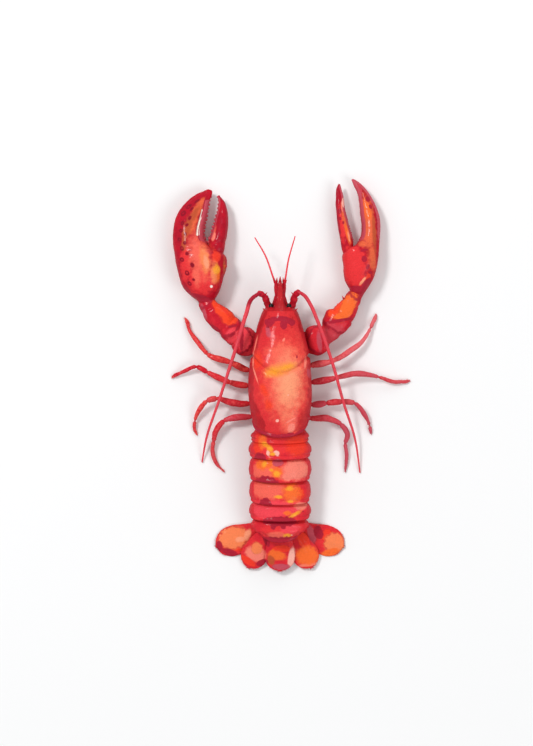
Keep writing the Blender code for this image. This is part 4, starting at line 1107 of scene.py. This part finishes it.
def makePalm(word, look):
    stations, side, slit, firstTooth = look["palm"], look["side"], look["slit"], look["teeth"][0]
    shell = clawSkin(f"{word}PalmShell", look, stations)
    along, fromEdge, width, high = clawPlace(look, stations, shell)
    onTop, share = ramp(high, 0.1, 0.5), fromEdge / width
    amount = 0.6 * bell(share - 0.97, 0.05) * ramp(along, 8, 20) * (np.abs(high) < 0.6)
    amount -= 0.6 * bell(along - claws["wristRing"], 1.6) * ramp(high, -0.4, 0.3)
    amount += 0.9 * bell(along - claws["hinge"], 4) * bell(share - 0.16, 0.14) * onTop
    amount += 0.5 * bell(share - 0.55, 0.2) * ramp(along, 48, 62) * onTop
    if slit:
        slitHalf = np.interp(along, slit[:2], (1.2, 0.45))
        amount -= slit[3] * bell(fromEdge - slit[2], slitHalf) * slitWindow(slit, along, (0, 4, 0, 5)) * onTop
    push(shell, amount)
    roughen(shell, (13, 0.55), (4.5, 0.18), (1.7, 0.06))
    keepOffTable(shell)
    rows, knobRows = smoothRows(stations, 1.0), []
    for knobAlong, size in look["knobs"]:
        inward, top, bottom = (valueAt(rows, knobAlong, k) for k in (2, 3, 4))
        x, y = look["wrist"][0] + side * (inward + claws["knobInset"]), look["wrist"][1] + knobAlong
        knobRows.append((x, y, top * 0.66 + bottom * 0.34, -side, 0.25, 0.6, size))
    merge(shell, sproutOn(f"{word}Knobs", "knob", knobRows, 0.08, 0.1, 3))
    toothless = len(shell.data.vertices)
    merge(shell, toothRow(f"{word}PalmTeeth", look, stations, -1))
    along, fromEdge, width, high = clawPlace(look, stations, shell)
    onFinger = ramp(along, firstTooth - 4, firstTooth + 3)
    stripWidth, stripEnd = look["strip"]
    mauve = np.clip(1.05 - fromEdge / (2 * stripWidth), 0, 1) * onFinger * ramp(stripEnd - along, 0, 3)
    dark = 0.62 * fade(np.abs(along - 3), 6)
    ivory = spots = 0
    if slit:
        slitHalf = np.interp(along, slit[:2], (1.6, 0.5))
        ivory = fade(np.abs(fromEdge - slit[2]) / slitHalf, 2) * (high > 0)
        ivory *= slitWindow(slit, along, (0.5, 2, 0.5, 2.5))
        seam = 0.95 * bell(fromEdge - stripWidth, 0.5) * onFinger * (high > 0) * (along < stripEnd)
        dark = np.maximum(dark, seam)
    else:
        mauve = np.maximum(mauve, fade(width - fromEdge, 5.2) * ramp(along, 40, 60))
    if look["spots"]:
        spots = spotMask(look["spots"], readPoints(shell)[:, 2], along, width - fromEdge)
    mauve[toothless:] = 1
    paintClaw(shell, look, 0, mauve=mauve, ivory=ivory, maroon=dark, wine=spots)
    place(shell, "claw_shell", f"{word}_palm")


# The washes on top, and the paler, plain underside.
def paintClaw(shell, look, lift, **extra):
    below = claws["paleUnder"] * ramp(look["paleBelow"] - readPoints(shell)[:, 2], -1, 3)
    paint(shell, look["washes"], look["paleBelow"] + lift, salmon=below, **extra)


# Dark oval spots in two uneven rows down the outer half of a claw, every other one a ring.
def spotMask(setup, height, along, fromOuter):
    rng = np.random.default_rng(setup["seed"])
    near, far = setup["inset"]
    mask = np.zeros(len(height))
    for k in range(setup["count"]):
        share = ((k + 0.5 + rng.uniform(-0.35, 0.35)) / setup["count"]) ** setup["crowding"]
        at = setup["from"] + (setup["to"] - setup["from"]) * share
        inset = near + (far - near) * ((k % 2) * 0.62 + rng.uniform(0, 0.38)) * (1 - 0.35 * share**3)
        size = rng.uniform(*setup["size"])
        distance = np.hypot((fromOuter - inset) / size, (along - at) / (size * rng.uniform(1.0, 1.4)))
        spot = fade(distance, 2)
        if k % 2 == 0:
            spot = np.clip(np.minimum(spot + 0.12, 0.28 + 0.55 * distance), 0, 1)
        mask = np.maximum(mask, spot)
    return np.where(height > claws["spotsAbove"], mask, 0)


def makeThumb(word, look):
    stations, firstTooth = look["thumb"], look["teeth"][0]
    root, hinge = stations[0][0], stations[3][0]
    shell = clawSkin(f"{word}ThumbShell", look, stations)
    along, fromEdge, width, high = clawPlace(look, stations, shell)
    amount = 0.45 * bell(fromEdge / width - 0.4, 0.16) * ramp(high, 0.2, 0.7)
    amount -= 0.5 * bell(along - hinge, 1.5) * ramp(high, -0.2, 0.4)
    push(shell, amount)
    roughen(shell, (9, 0.35), (3.4, 0.13), (1.5, 0.05))
    toothless = len(shell.data.vertices)
    merge(shell, toothRow(f"{word}ThumbTeeth", look, stations, 1))
    along, fromEdge, width, high = clawPlace(look, stations, shell)
    inner = 0.9 * fade(width - fromEdge, 4.4) * ramp(along, firstTooth - 2, firstTooth + 4)
    inner[toothless:] = 1
    outer = 0.9 * fade(fromEdge, 3.6) * ramp(along, hinge, hinge + 6)
    collar = 0.6 * fade(along - root, 12)
    paintClaw(shell, look, 1, mauve=inner, maroon=np.maximum(collar, outer))
    place(shell, "claw_shell", f"{word}_thumb")


for clawWord, clawLook in (("crusher", crusher), ("cutter", cutter)):
    makePalm(clawWord, clawLook)
    makeThumb(clawWord, clawLook)
print("claws ready")


# Arms

arms = {
    "spacing": 0.8, "sides": 72, "power": 2.3, "paintAbove": 9,
    # (x, y, z, half width, half height) down each part
    "crusher": {
        "wrist": [
            (-66.3, 65, 13.2, 7, 6.6), (-60, 56.5, 13.8, 10, 8.8), (-50.5, 48, 14.2, 11.2, 9.6),
            (-43.5, 41.5, 13.8, 8.4, 7.6),
        ],
        "elbow": [(-46, 43.5, 13.8, 10.6, 9.2), (-40.5, 37, 13.6, 11.2, 9.4), (-35, 32, 13, 7.6, 7)],
        "shoulder": [
            (-36.5, 31.5, 12.8, 11.5, 8.8), (-30, 30, 12, 13.5, 8.6), (-23.5, 29, 9.4, 10, 6),
            (-17.5, 28.5, 6.4, 5.5, 3.6),
        ],
    },
    "cutter": {
        "wrist": [
            (66.8, 70.5, 12.8, 6.6, 6.4), (62.4, 62.5, 13.4, 8.8, 8), (57, 55, 13.8, 10.2, 9),
            (51.5, 49.5, 13.6, 8.4, 7.2),
        ],
        "elbow": [(52.5, 51, 13.6, 12.6, 8.8), (47, 41.5, 13.4, 10.4, 9), (40.5, 33.5, 12.8, 7, 6.8)],
        "shoulder": [
            (37.5, 32, 12.6, 12, 8.6), (31.5, 31, 12, 14.4, 8.6), (24.5, 29.5, 9.4, 10.4, 6),
            (17.5, 29, 6.4, 5.5, 3.6),
        ],
    },
    # x, y, z, way x, way y, way z, size
    "thorns": {
        "crusher_wrist": [
            (-51, 57.6, 17, 0.6, 1, 0.8, 3), (-57.6, 63.6, 17, 0.5, 1, 0.8, 2.6),
            (-44.4, 49.8, 17, 0.6, 0.8, 0.9, 2.8),
        ],
        "crusher_elbow": [(-38, 43.4, 17, 0.3, 1, 0.8, 2.6), (-46, 33.8, 18, -0.6, -0.2, 0.8, 2.2)],
        "cutter_wrist": [
            (52.4, 62.4, 17, -0.6, 1, 0.7, 3), (57, 69.4, 16, -0.5, 1, 0.7, 2.8),
            (48.2, 55.8, 17, -0.7, 0.8, 0.8, 2.6),
        ],
        "cutter_elbow": [(42, 49.4, 17, -0.4, 1, 0.8, 2.6), (53.6, 41.6, 18, 0.6, -0.2, 0.8, 2.2)],
    },
    "washes": {
        "mauve": [(-68.6, 57, 1.8, 7.4, 18), (35.4, 30, 2.2, 9.6, 6)],
        "blaze": [(-53.4, 60, 5.4, 11.4, 40), (-44.6, 51.4, 8, 6.4, 20), (50, 59.6, 4.6, 9.4, -40)],
        "scarlet": [(-49.6, 58, 1.2, 9, 40)],
        "maroon": [
            (-43, 43.8, 5.6, 1, 16), (-36.2, 49, 1.2, 4, 10), (-58, 39.6, 8, 3.6, -42),
            (50.6, 48.4, 15.6, 1.5, 10), (-34.6, 33, 1.8, 12, 0),
        ],
        # painted light: the second rosy patch lightens the left shoulder where the body shell's shadow falls
        "rosy": [(-41.6, 35, 7, 7.6, 0), (-29, 31, 9, 14, 0)],
        "orange": [(61.8, 63, 6.2, 15, -28), (56, 53.6, 9, 3, 14)],
        "dusk": [(47.6, 37.4, 10.6, 9.8, -26)],
        # painted light: lightens the right shoulder where the body shell's shadow falls
        "ruby": [(29, 32, 7, 14, 0)],
    },
}


def makeArmPart(arm, part, stations):
    look, start, wide = arms, stations[0][:3], stations[0][3]
    shell = tube(f"{arm}{part.title()}Shell", stations, look["spacing"], look["sides"], look["power"])
    gap = gapTo(readPoints(shell), start) - wide * 1.05
    push(shell, 0.55 * bell(gap, 1.3) - 0.55 * bell(gap - 3.2, 1.1))
    roughen(shell, (9, 0.5), (3.6, 0.2), (1.5, 0.06))
    if f"{arm}_{part}" in look["thorns"]:
        merge(shell, sproutOn("armThorns", "thorn", look["thorns"][f"{arm}_{part}"], 0.06, 0.1, 6))
    points = readPoints(shell)
    ringTone = 0.56 * fade(np.abs(gapTo(points, start) - wide * 1.15), 3.4)
    below = 0.3 * ramp(look["paintAbove"] - points[:, 2], -2, 4) + 0.1
    paint(shell, look["washes"], look["paintAbove"], maroon=ringTone, red=below)
    place(shell, "arm_shell", f"{arm}_{part}")


for armWord in ("crusher", "cutter"):
    for partWord, partStations in arms[armWord].items():
        makeArmPart(armWord, partWord, partStations)
print("arms ready")


# Walking legs

legShape = {
    "radius": 2.9, "tipRadius": 1, "taper": 1.9, "pinch": 0.62, "swell": 1.16, "spacing": 0.8, "sides": 24,
    "bristles": 70, "bristleLength": 1.7,
}
# knee and pinches: which points of the route they are; rose: how dusky the leg is
legs = {
    "left_1": {"knee": 2, "pinches": (1, 3), "rose": 0.35, "route": [
        (-16, 5, 6.6), (-28, 4.5, 8.6), (-45, 11.5, 12.6), (-65.5, 19, 11.5), (-74.5, 30, 7.6),
        (-80.5, 38, 4.6), (-86, 51.5, 1.1),
    ]},
    "left_2": {"knee": 2, "pinches": (1, 3, 4), "rose": 0.3, "route": [
        (-16, -8.5, 6.6), (-29, -9.5, 8.6), (-45.5, -6.5, 12.4), (-65.5, 2.5, 10.5), (-75.5, 7.5, 8.2),
        (-86.5, 3.5, 4.6), (-98, -2.5, 1.1),
    ]},
    "left_3": {"knee": 3, "pinches": (1, 4, 6), "rose": 0.35, "route": [
        (-16, -23, 6.6), (-28, -25.8, 8.4), (-44, -24.8, 11), (-57, -21.4, 11.4), (-66, -23.6, 10),
        (-72.2, -30.6, 7.6), (-77, -41.5, 4), (-77.5, -48.5, 2.2), (-75.2, -54, 1.1),
    ]},
    "left_4": {"knee": 3, "pinches": (1, 5), "rose": 0.5, "route": [
        (-15, -34.8, 6.4), (-26, -37.6, 8.2), (-39.5, -38.3, 10.6), (-50.5, -41.4, 10.4), (-58, -50.9, 8),
        (-60, -60, 5.6), (-61, -68.5, 3.8), (-57.3, -80.5, 2), (-50.6, -87.6, 1.1),
    ]},
    "right_1": {"knee": 2, "pinches": (1, 5), "rose": 0.7, "tint": "petal", "route": [
        (16, 5.5, 6.6), (28, 8.6, 8.6), (46.5, 12.4, 12.6), (63, 21.6, 10.8), (75.5, 31.7, 7.4),
        (82, 42.6, 4), (87.2, 55, 1.1),
    ]},
    "right_2": {"knee": 2, "pinches": (1, 4), "rose": 0.6, "route": [
        (16, -7.5, 6.6), (29, -6.5, 8.6), (50, -2.8, 12.6), (68, 1.2, 10.8), (89.5, -1.8, 7.2),
        (104, -6.3, 3.6), (117.8, -5, 1.3),
    ]},
    "right_3": {"knee": 3, "pinches": (1, 2, 4, 6), "rose": 0.65, "route": [
        (16, -23, 6.6), (29, -26.6, 8.4), (42, -25.4, 10.6), (56, -24.2, 11.2), (67.5, -25.6, 9.8),
        (77.2, -37, 5.8), (81.2, -46.2, 2.8), (82.6, -53.2, 1.1),
    ]},
    "right_4": {"knee": 3, "pinches": (1, 5), "rose": 0.8, "route": [
        (15, -35, 6.4), (27.5, -39, 8.2), (43.5, -39.4, 10.6), (55, -44.6, 9.8), (61, -54, 7),
        (59.2, -62, 4.8), (60.4, -71.3, 3.2), (59.3, -87.6, 1.1),
    ]},
}


# Points along a leg with the radius there, full between two joints, and where each route point lies.
def legStations(leg):
    look = legShape
    path = smoothRows(leg["route"], 2.0)
    reached = lengthsAlong(path)
    places = [int(np.argmin(gapTo(path, point))) for point in leg["route"]]
    joints = [reached[places[i]] for i in sorted({0, *leg["pinches"], leg["knee"], len(places) - 1})]
    radius = look["radius"] + (look["tipRadius"] - look["radius"]) * (reached / reached[-1]) ** look["taper"]
    within = np.interp(reached, joints, range(len(joints))) % 1
    radius *= look["pinch"] + (look["swell"] - look["pinch"]) * np.sin(np.pi * within) ** 0.7
    return np.column_stack([path, radius, radius]), places


# Bristles round the last few millimetres of a leg.
def legBristles(seed, stations, way):
    rng = np.random.default_rng(seed)
    ends = smoothRows(stations[-7:], 0.4)
    starts, ways = [], []
    for _ in range(legShape["bristles"]):
        x, y, z, radius, _ = ends[rng.integers(0, len(ends))]
        turn = rng.uniform(0, 2 * math.pi)
        out = np.array([math.cos(turn), math.sin(turn), rng.uniform(-0.2, 0.6)])
        starts.append((x, y, z) + out * radius * 0.8)
        ways.append(out + way * 1.2)
    starts = np.array(starts)
    starts[:, 2] = np.maximum(starts[:, 2], 1)
    rows = sproutRows(starts, ways, legShape["bristleLength"])
    return sproutOn("legBristles", "bristle", rows, 0.2, 0.3, 2)


# The small second finger at the end of the first two pairs of legs.
def legPincer(tip, way):
    across = np.cross(way, (0, 0, 1))
    base = tip - way * 8 + across * 0.9
    finger = [(base, 0.9), (base + way * 4 + across * 0.7, 0.75), (tip - way * 0.6 + across * 0.8, 0.4)]
    return tube("pincer", [(x, y, max(z, 0.9), r, r) for (x, y, z), r in finger], 0.7, 12)


def makeLegPart(name, leg, part, stations):
    route, jointPlaces = leg["route"], [leg["route"][i] for i in (*leg["pinches"], leg["knee"])]
    seed = len(name) + int(name[-1])
    words = "".join(word.title() for word in name.split("_"))
    limb = tube(f"leg{words}{part.title()}", stations, legShape["spacing"], legShape["sides"])
    gaps = [gapTo(readPoints(limb), joint) for joint in jointPlaces]
    push(limb, sum(0.35 * bell(gap - 2.6, 0.7) - 0.2 * bell(gap, 1.2) for gap in gaps))
    roughen(limb, (6, 0.25), (2.2, 0.1))
    if part == "lower":
        tip, before = np.array(route[-1], float), np.array(route[-2], float)
        way = (tip - before) / np.linalg.norm(tip - before)
        merge(limb, legBristles(seed, stations, way))
        if name[-1] in "12":
            merge(limb, legPincer(tip, way))
    points = readPoints(limb)
    root = route[0][:2]
    reach = gapTo(points[:, :2], root)
    gaps = [gapTo(points, joint) for joint in jointPlaces]
    joints = 0.7 * fade(np.min(gaps, axis=0), 4.2)
    membrane = fade(np.min(gaps, axis=0), 1.7)
    passed = sum((reach > math.dist(root, joint[:2])).astype(int) for joint in jointPlaces)
    # each part between joints has its own balance of red, salmon and rose
    shares = np.random.default_rng(40 + seed).uniform(-0.14, 0.14, (6, 3))[passed]
    rose = np.clip(leg["rose"] * (0.5 + 0.62 * reach / math.dist(root, route[-1][:2])), 0, 1) + shares[:, 0]
    red, salmon = 0.46 + shares[:, 2], 0.32 + shares[:, 1] + 0.3 * ramp(3.4 - points[:, 2], 0, 3)
    paint(limb, **{leg.get("tint", "mauve"): rose}, maroon=joints, pale=membrane, red=red, salmon=salmon)
    place(limb, "leg_shell", f"leg_{name}_{part}")


for legName, legLook in legs.items():
    legRows, legPlaces = legStations(legLook)
    legKnee = legPlaces[legLook["knee"]]
    makeLegPart(legName, legLook, "upper", legRows[: legKnee + 1])
    makeLegPart(legName, legLook, "lower", legRows[legKnee:])
print("legs ready")


# Head: feelers, eyes and mouth legs

# (x, y, z, radius) along each; a single list is given for +X and mirrored
head = {
    "antennaBase": {
        left: [(-9, 57.5, 21, 2.6), (-11.4, 65, 24.4, 2.8), (-14.8, 71, 29.8, 2.5), (-18.6, 73.4, 34, 2.2)],
        right: [(9.4, 57.5, 21, 2.6), (11.8, 65, 24.6, 2.9), (13.4, 71, 30, 2.7), (16.2, 74.4, 34.2, 2.3)],
    },
    "antenna": {
        left: [
            (-18, 73.4, 34.4, 1.5), (-25.5, 67.8, 35.4, 1.7), (-30.2, 55, 34.4, 1.7),
            (-37.4, 31, 30.8, 1.5), (-45.9, 4.5, 25, 1.35), (-54.5, -22, 19, 1.15), (-66.8, -58.5, 8, 0.9),
            (-70.6, -79.2, 1.1, 0.6),
        ],
        right: [
            (16.8, 74.2, 34.8, 1.3), (21.6, 71, 36, 1.5), (27.4, 62.4, 35.6, 1.5), (32.9, 49.7, 33.6, 1.45),
            (47.7, 8.4, 26, 1.3), (57, -24.3, 18.6, 1.15), (68, -58.5, 8.8, 0.9), (72.6, -88.5, 1.1, 0.6),
        ],
    },
    "antennule": {
        left: [
            (-4.4, 82.5, 28.2, 1), (-6.2, 87.5, 28.8, 0.85), (-13, 106.5, 29.6, 0.72),
            (-22.7, 123.3, 27.6, 0.5),
        ],
        right: [
            (4, 82, 28.2, 1), (4.8, 86.5, 28.8, 0.85), (7.4, 102.5, 29.8, 0.72), (13.5, 124.4, 28, 0.5),
        ],
    },
    "antennuleBase": [
        (3, 58, 24.8, 2), (3, 66, 25.8, 2.2), (2.9, 72, 26.6, 1.9), (3.2, 77, 27.4, 2.2),
        (3.8, 83.6, 28.3, 1.4),
    ],
    "eyeStalk": [(6.6, 56.6, 31.8, 1.6), (8, 60.6, 32.2, 1.7)],
    "eye": (8, 61.8, 32, 2.3),
    "mouthLeg": [
        (4.6, 40, 9.4, 2.6), (5.6, 49, 9, 3.2), (5.4, 58, 10.2, 3), (4.2, 66.5, 13.4, 2.2),
        (3.6, 70.6, 16.4, 1.3),
    ],
    # x, y, z, half width, half height
    "scale": [(10.5, 60, 20.6, 2, 0.7), (12.4, 65, 22, 2.2, 0.7), (13.6, 69.5, 24, 1, 0.5)],
    "rings": 230, "shortRings": 60, "ringDepth": 0.05, "fuller": 1.1,
    "mouthBristles": 160, "bristleLength": 2.4,
    "bendTone": {left: 0.8, right: 0.3},
}


def whip(name, rows, rings):
    line = smoothRows(rows, 1.5)
    edges = [(i, i + 1) for i in range(len(line) - 1)]
    feeler = markedPoints(name, line[:, :3], edges, thick=line[:, 3] * mm)
    return grow(feeler, trees["whip"], {"Rings": rings, "Ring Depth": head["ringDepth"], "Sides": 14})


def roundTube(name, rows, spacing, sides):
    return tube(name, [(*row, row[3]) for row in rows], spacing, sides)


def makeAntenna(side, word, look):
    route = [(x, y, z, r * look["fuller"]) for x, y, z, r in look["antenna"][side]]
    feeler = whip(f"antenna{word.title()}Whip", route, look["rings"])
    y = readPoints(feeler)[:, 1]
    bend = look["bendTone"][side] * ramp(y, 54, 68)  # darker where it bends back
    paint(feeler, rosy=0.95 - 0.6 * ramp(y, 52, 74), mauve=0.44, maroon=bend)
    place(feeler, "feeler", f"antenna_{word}")


def makeAntennaBase(side, word, look):
    rows = look["antennaBase"][side]
    base = roundTube(f"antennaBase{word.title()}", rows, 0.6, 28)
    gaps = [gapTo(readPoints(base), row[:3]) for row in rows[1:3]]
    push(base, sum(0.5 * bell(gap - 4.2, 0.9) - 0.5 * bell(gap, 2.4) for gap in gaps))
    (x1, y1, z1), (x2, y2, z2) = rows[1][:3], rows[2][:3]
    thorns = [
        (x1 + side * 2.2, y1 + 1.5, z1 + 0.5, side, 1, 0.2, 3.4),
        (x2 + side * 1.6, y2 + 1.6, z2 + 1.2, side * 0.8, 0.8, 0.3, 2.6),
        (x2 - side * 1.8, y2 + 1.2, z2 + 0.8, -side * 0.8, 1, 0.2, 2.6),
    ]
    merge(base, sproutOn("baseThorns", "thorn", thorns, 0.05, 0.1, 3))
    merge(base, tube("scale", mirrored(look["scale"], side), 0.7, 24, 2.2))
    roughen(base, (4, 0.2), (1.6, 0.06))
    paint(base, maroon=0.46)
    place(base, "feeler", f"antenna_base_{word}")


def makeAntennule(side, word, look):
    feeler = whip(f"antennule{word.title()}Whip", look["antennule"][side], look["shortRings"])
    foot = roundTube("antennuleFoot", mirrored(look["antennuleBase"], side), 0.5, 24)
    spikes = [(side * 5, 83, 28.6, side * 0.4, 1, 0.1, 2.6), (side * 3, 84, 28.8, -side * 0.1, 1, 0.1, 3.6)]
    merge(feeler, foot, sproutOn("footThorns", "thorn", spikes, 0.03, 0.05, 3))
    y = readPoints(feeler)[:, 1]
    paint(feeler, rosy=0.95 * ramp(y, 84, 89), maroon=0.44 * (1 - ramp(y, 82, 86)))
    place(feeler, "feeler", f"antennule_{word}")


def makeEye(side, word, look):
    stalk = roundTube(f"eye{word.title()}Ball", mirrored(look["eyeStalk"], side), 0.5, 24)
    stalkCount = len(stalk.data.polygons)
    x, y, z, radius = look["eye"]
    turn = np.linspace(0, math.pi, 17)
    ball = turnedShape("ball", np.column_stack([radius * np.sin(turn), -0.94 * radius * np.cos(turn)]), 32)
    ball.data.transform(Matrix.Translation((x * side * mm, y * mm, z * mm)))
    merge(stalk, ball)
    paint(stalk)
    place(stalk, "eye", f"eye_{word}")
    stalk.data.materials.append(finishes["leg_shell"])
    for face in stalk.data.polygons[:stalkCount]:
        face.material_index = 1


def makeMouthLeg(side, word, look):
    limb = roundTube(f"mouthLeg{word.title()}", mirrored(look["mouthLeg"], side), 0.7, 28)
    roughen(limb, (5, 0.25), (1.8, 0.1))
    count, rows = look["mouthBristles"], smoothRows(look["mouthLeg"], 0.5)
    rng = np.random.default_rng(20 + side)
    picks = rows[rng.integers(10, len(rows), count)]
    turn = rng.uniform(-0.6, 0.6, count)
    ways = np.column_stack([-side * np.cos(turn), np.full(count, 0.5), np.sin(turn)])
    starts = picks[:, :3] * (side, 1, 1) + ways * picks[:, 3, None] * 0.9
    bristles = sproutRows(starts, ways, look["bristleLength"])
    merge(limb, sproutOn("mouthBristles", "bristle", bristles, 0.2, 0.3, 5))
    paint(limb, mauve=0.3)
    place(limb, "leg_shell", f"mouth_leg_{word}")


for headSide, sideWord in sideNames.items():
    for makePart in (makeAntenna, makeAntennaBase, makeAntennule, makeEye, makeMouthLeg):
        makePart(headSide, sideWord, head)
print("head ready")


# Underside: breast plate and swimming legs

underside = {
    # y, half width
    "plate": [(34, 8), (27, 11), (14, 13.2), (0, 13.7), (-16, 13.2), (-29, 11.4), (-37, 8.5)],
    "plateTop": 12.2, "plateGrooves": [22, 5, -8.5, -23], "plateSides": 96,
    "plateEnds": [(0, 35.5, 6), (0, -38.5, 6)],
    "paddleRows": [-70, -88, -107, -124], "paddleX": 9.5, "paddleZ": 8.2, "paddleSize": 13,
    "splays": (0.35, 0.95),
}


def makeBreastPlate():
    look = underside
    c, s = ringShape(look["plateSides"], 3)
    y, half = smoothRows(look["plate"], 0.9).T[..., None]
    rings = stacked(half * c, y, np.maximum(look["plateTop"] * (0.42 + 0.58 * s), 0))
    plate = skin("breastPlate", rings, look["plateEnds"])
    x, y, z = readPoints(plate).T
    grooves = sum(0.5 * bell(y - grooveY - 0.25 * np.abs(x), 1.0) for grooveY in look["plateGrooves"])
    low = z < 0.5
    push(plate, -(grooves + 0.6 * bell(x, 0.8)) * low)
    paint(plate, salmon=0.55 * low, mauve=0.5)
    place(plate, "leg_shell", "breast_plate")


def makeSwimmingLegs():
    look, rows = underside, []
    for side in (left, right):
        for rowY in look["paddleRows"]:
            for splay in look["splays"]:
                start = (side * look["paddleX"], rowY, look["paddleZ"])
                rows.append((*start, side * splay, -0.75, -0.32, look["paddleSize"]))
    paddles = sproutOn("swimmingLegs", "paddle", rows, 0.04, 0.08, 7)
    roughen(paddles, (5, 0.2), (2, 0.08))
    paint(paddles, mauve=0.55)
    place(paddles, "leg_shell")


makeBreastPlate()
makeSwimmingLegs()
for shape in sprouts.values():
    bpy.data.objects.remove(shape)
print("underside ready")


# Floor, light and camera

studio = {
    "floorSize": 9000, "floorColour": (0.90, 0.895, 0.89, 1),
    "skyColour": (0.96, 0.98, 1.0, 1), "skyStrength": 0.56,
    "frameHeight": 671.4, "centre": (-12.15, 1.8, 18), "lens": 120, "sensor": 36,
    # place and aim in metres, size, watts
    "lamps": {
        "keyLight": ((-1.5, 1.3, 2.6), (0, 0, 0), 0.75, 50),
        "fillLight": ((2.0, -1.2, 2.3), (0, 0, 0), 1.8, 24),
        "rimLight": ((0.6, 2.4, 1.5), (0, 0.05, 0), 1.2, 9),
    },
}


def makeStudio():
    look, scene = studio, bpy.context.scene
    half = look["floorSize"] / 2
    corners = [(-half, -half, 0), (half, -half, 0), (half, half, 0), (-half, half, 0)]
    floor = newPiece("floor", corners, faces=[(0, 1, 2, 3)])
    material = bpy.data.materials.new("floorPaint")
    material.use_nodes = True
    shader = material.node_tree.nodes["Principled BSDF"].inputs
    shader["Base Color"].default_value = look["floorColour"]
    shader["Roughness"].default_value = 0.8
    floor.data.materials.append(material)
    floor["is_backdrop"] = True
    scene.world = bpy.data.worlds.new("softRoom")
    scene.world.use_nodes = True
    sky = scene.world.node_tree.nodes["Background"].inputs
    sky["Color"].default_value = look["skyColour"]
    sky["Strength"].default_value = look["skyStrength"]
    for name, (spot, aim, size, watts) in look["lamps"].items():
        lamp = bpy.data.lights.new(name, "AREA")
        lamp.shape = "DISK"
        lamp.size = size
        lamp.energy = watts
        holder = bpy.data.objects.new(name, lamp)
        holder.location = spot
        holder.rotation_euler = (Vector(aim) - Vector(spot)).to_track_quat("-Z", "Y").to_euler()
        scene.collection.objects.link(holder)
    camera = bpy.data.cameras.new("camera")
    camera.lens = look["lens"]
    camera.sensor_width = look["sensor"]
    camera.clip_end = 50
    x, y, z = look["centre"]
    away = look["frameHeight"] * look["lens"] / look["sensor"]
    eye = bpy.data.objects.new("camera", camera)
    eye.location = (x * mm, y * mm, (z + away) * mm)
    scene.collection.objects.link(eye)
    bpy.context.scene.camera = eye
    scene.view_settings.view_transform = "Standard"


makeStudio()
print("studio ready")

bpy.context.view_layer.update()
meshes = [piece.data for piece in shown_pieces() if piece.type == "MESH"]
print("triangles", sum(len(mesh.loop_triangles) or len(mesh.polygons) * 2 for mesh in meshes))
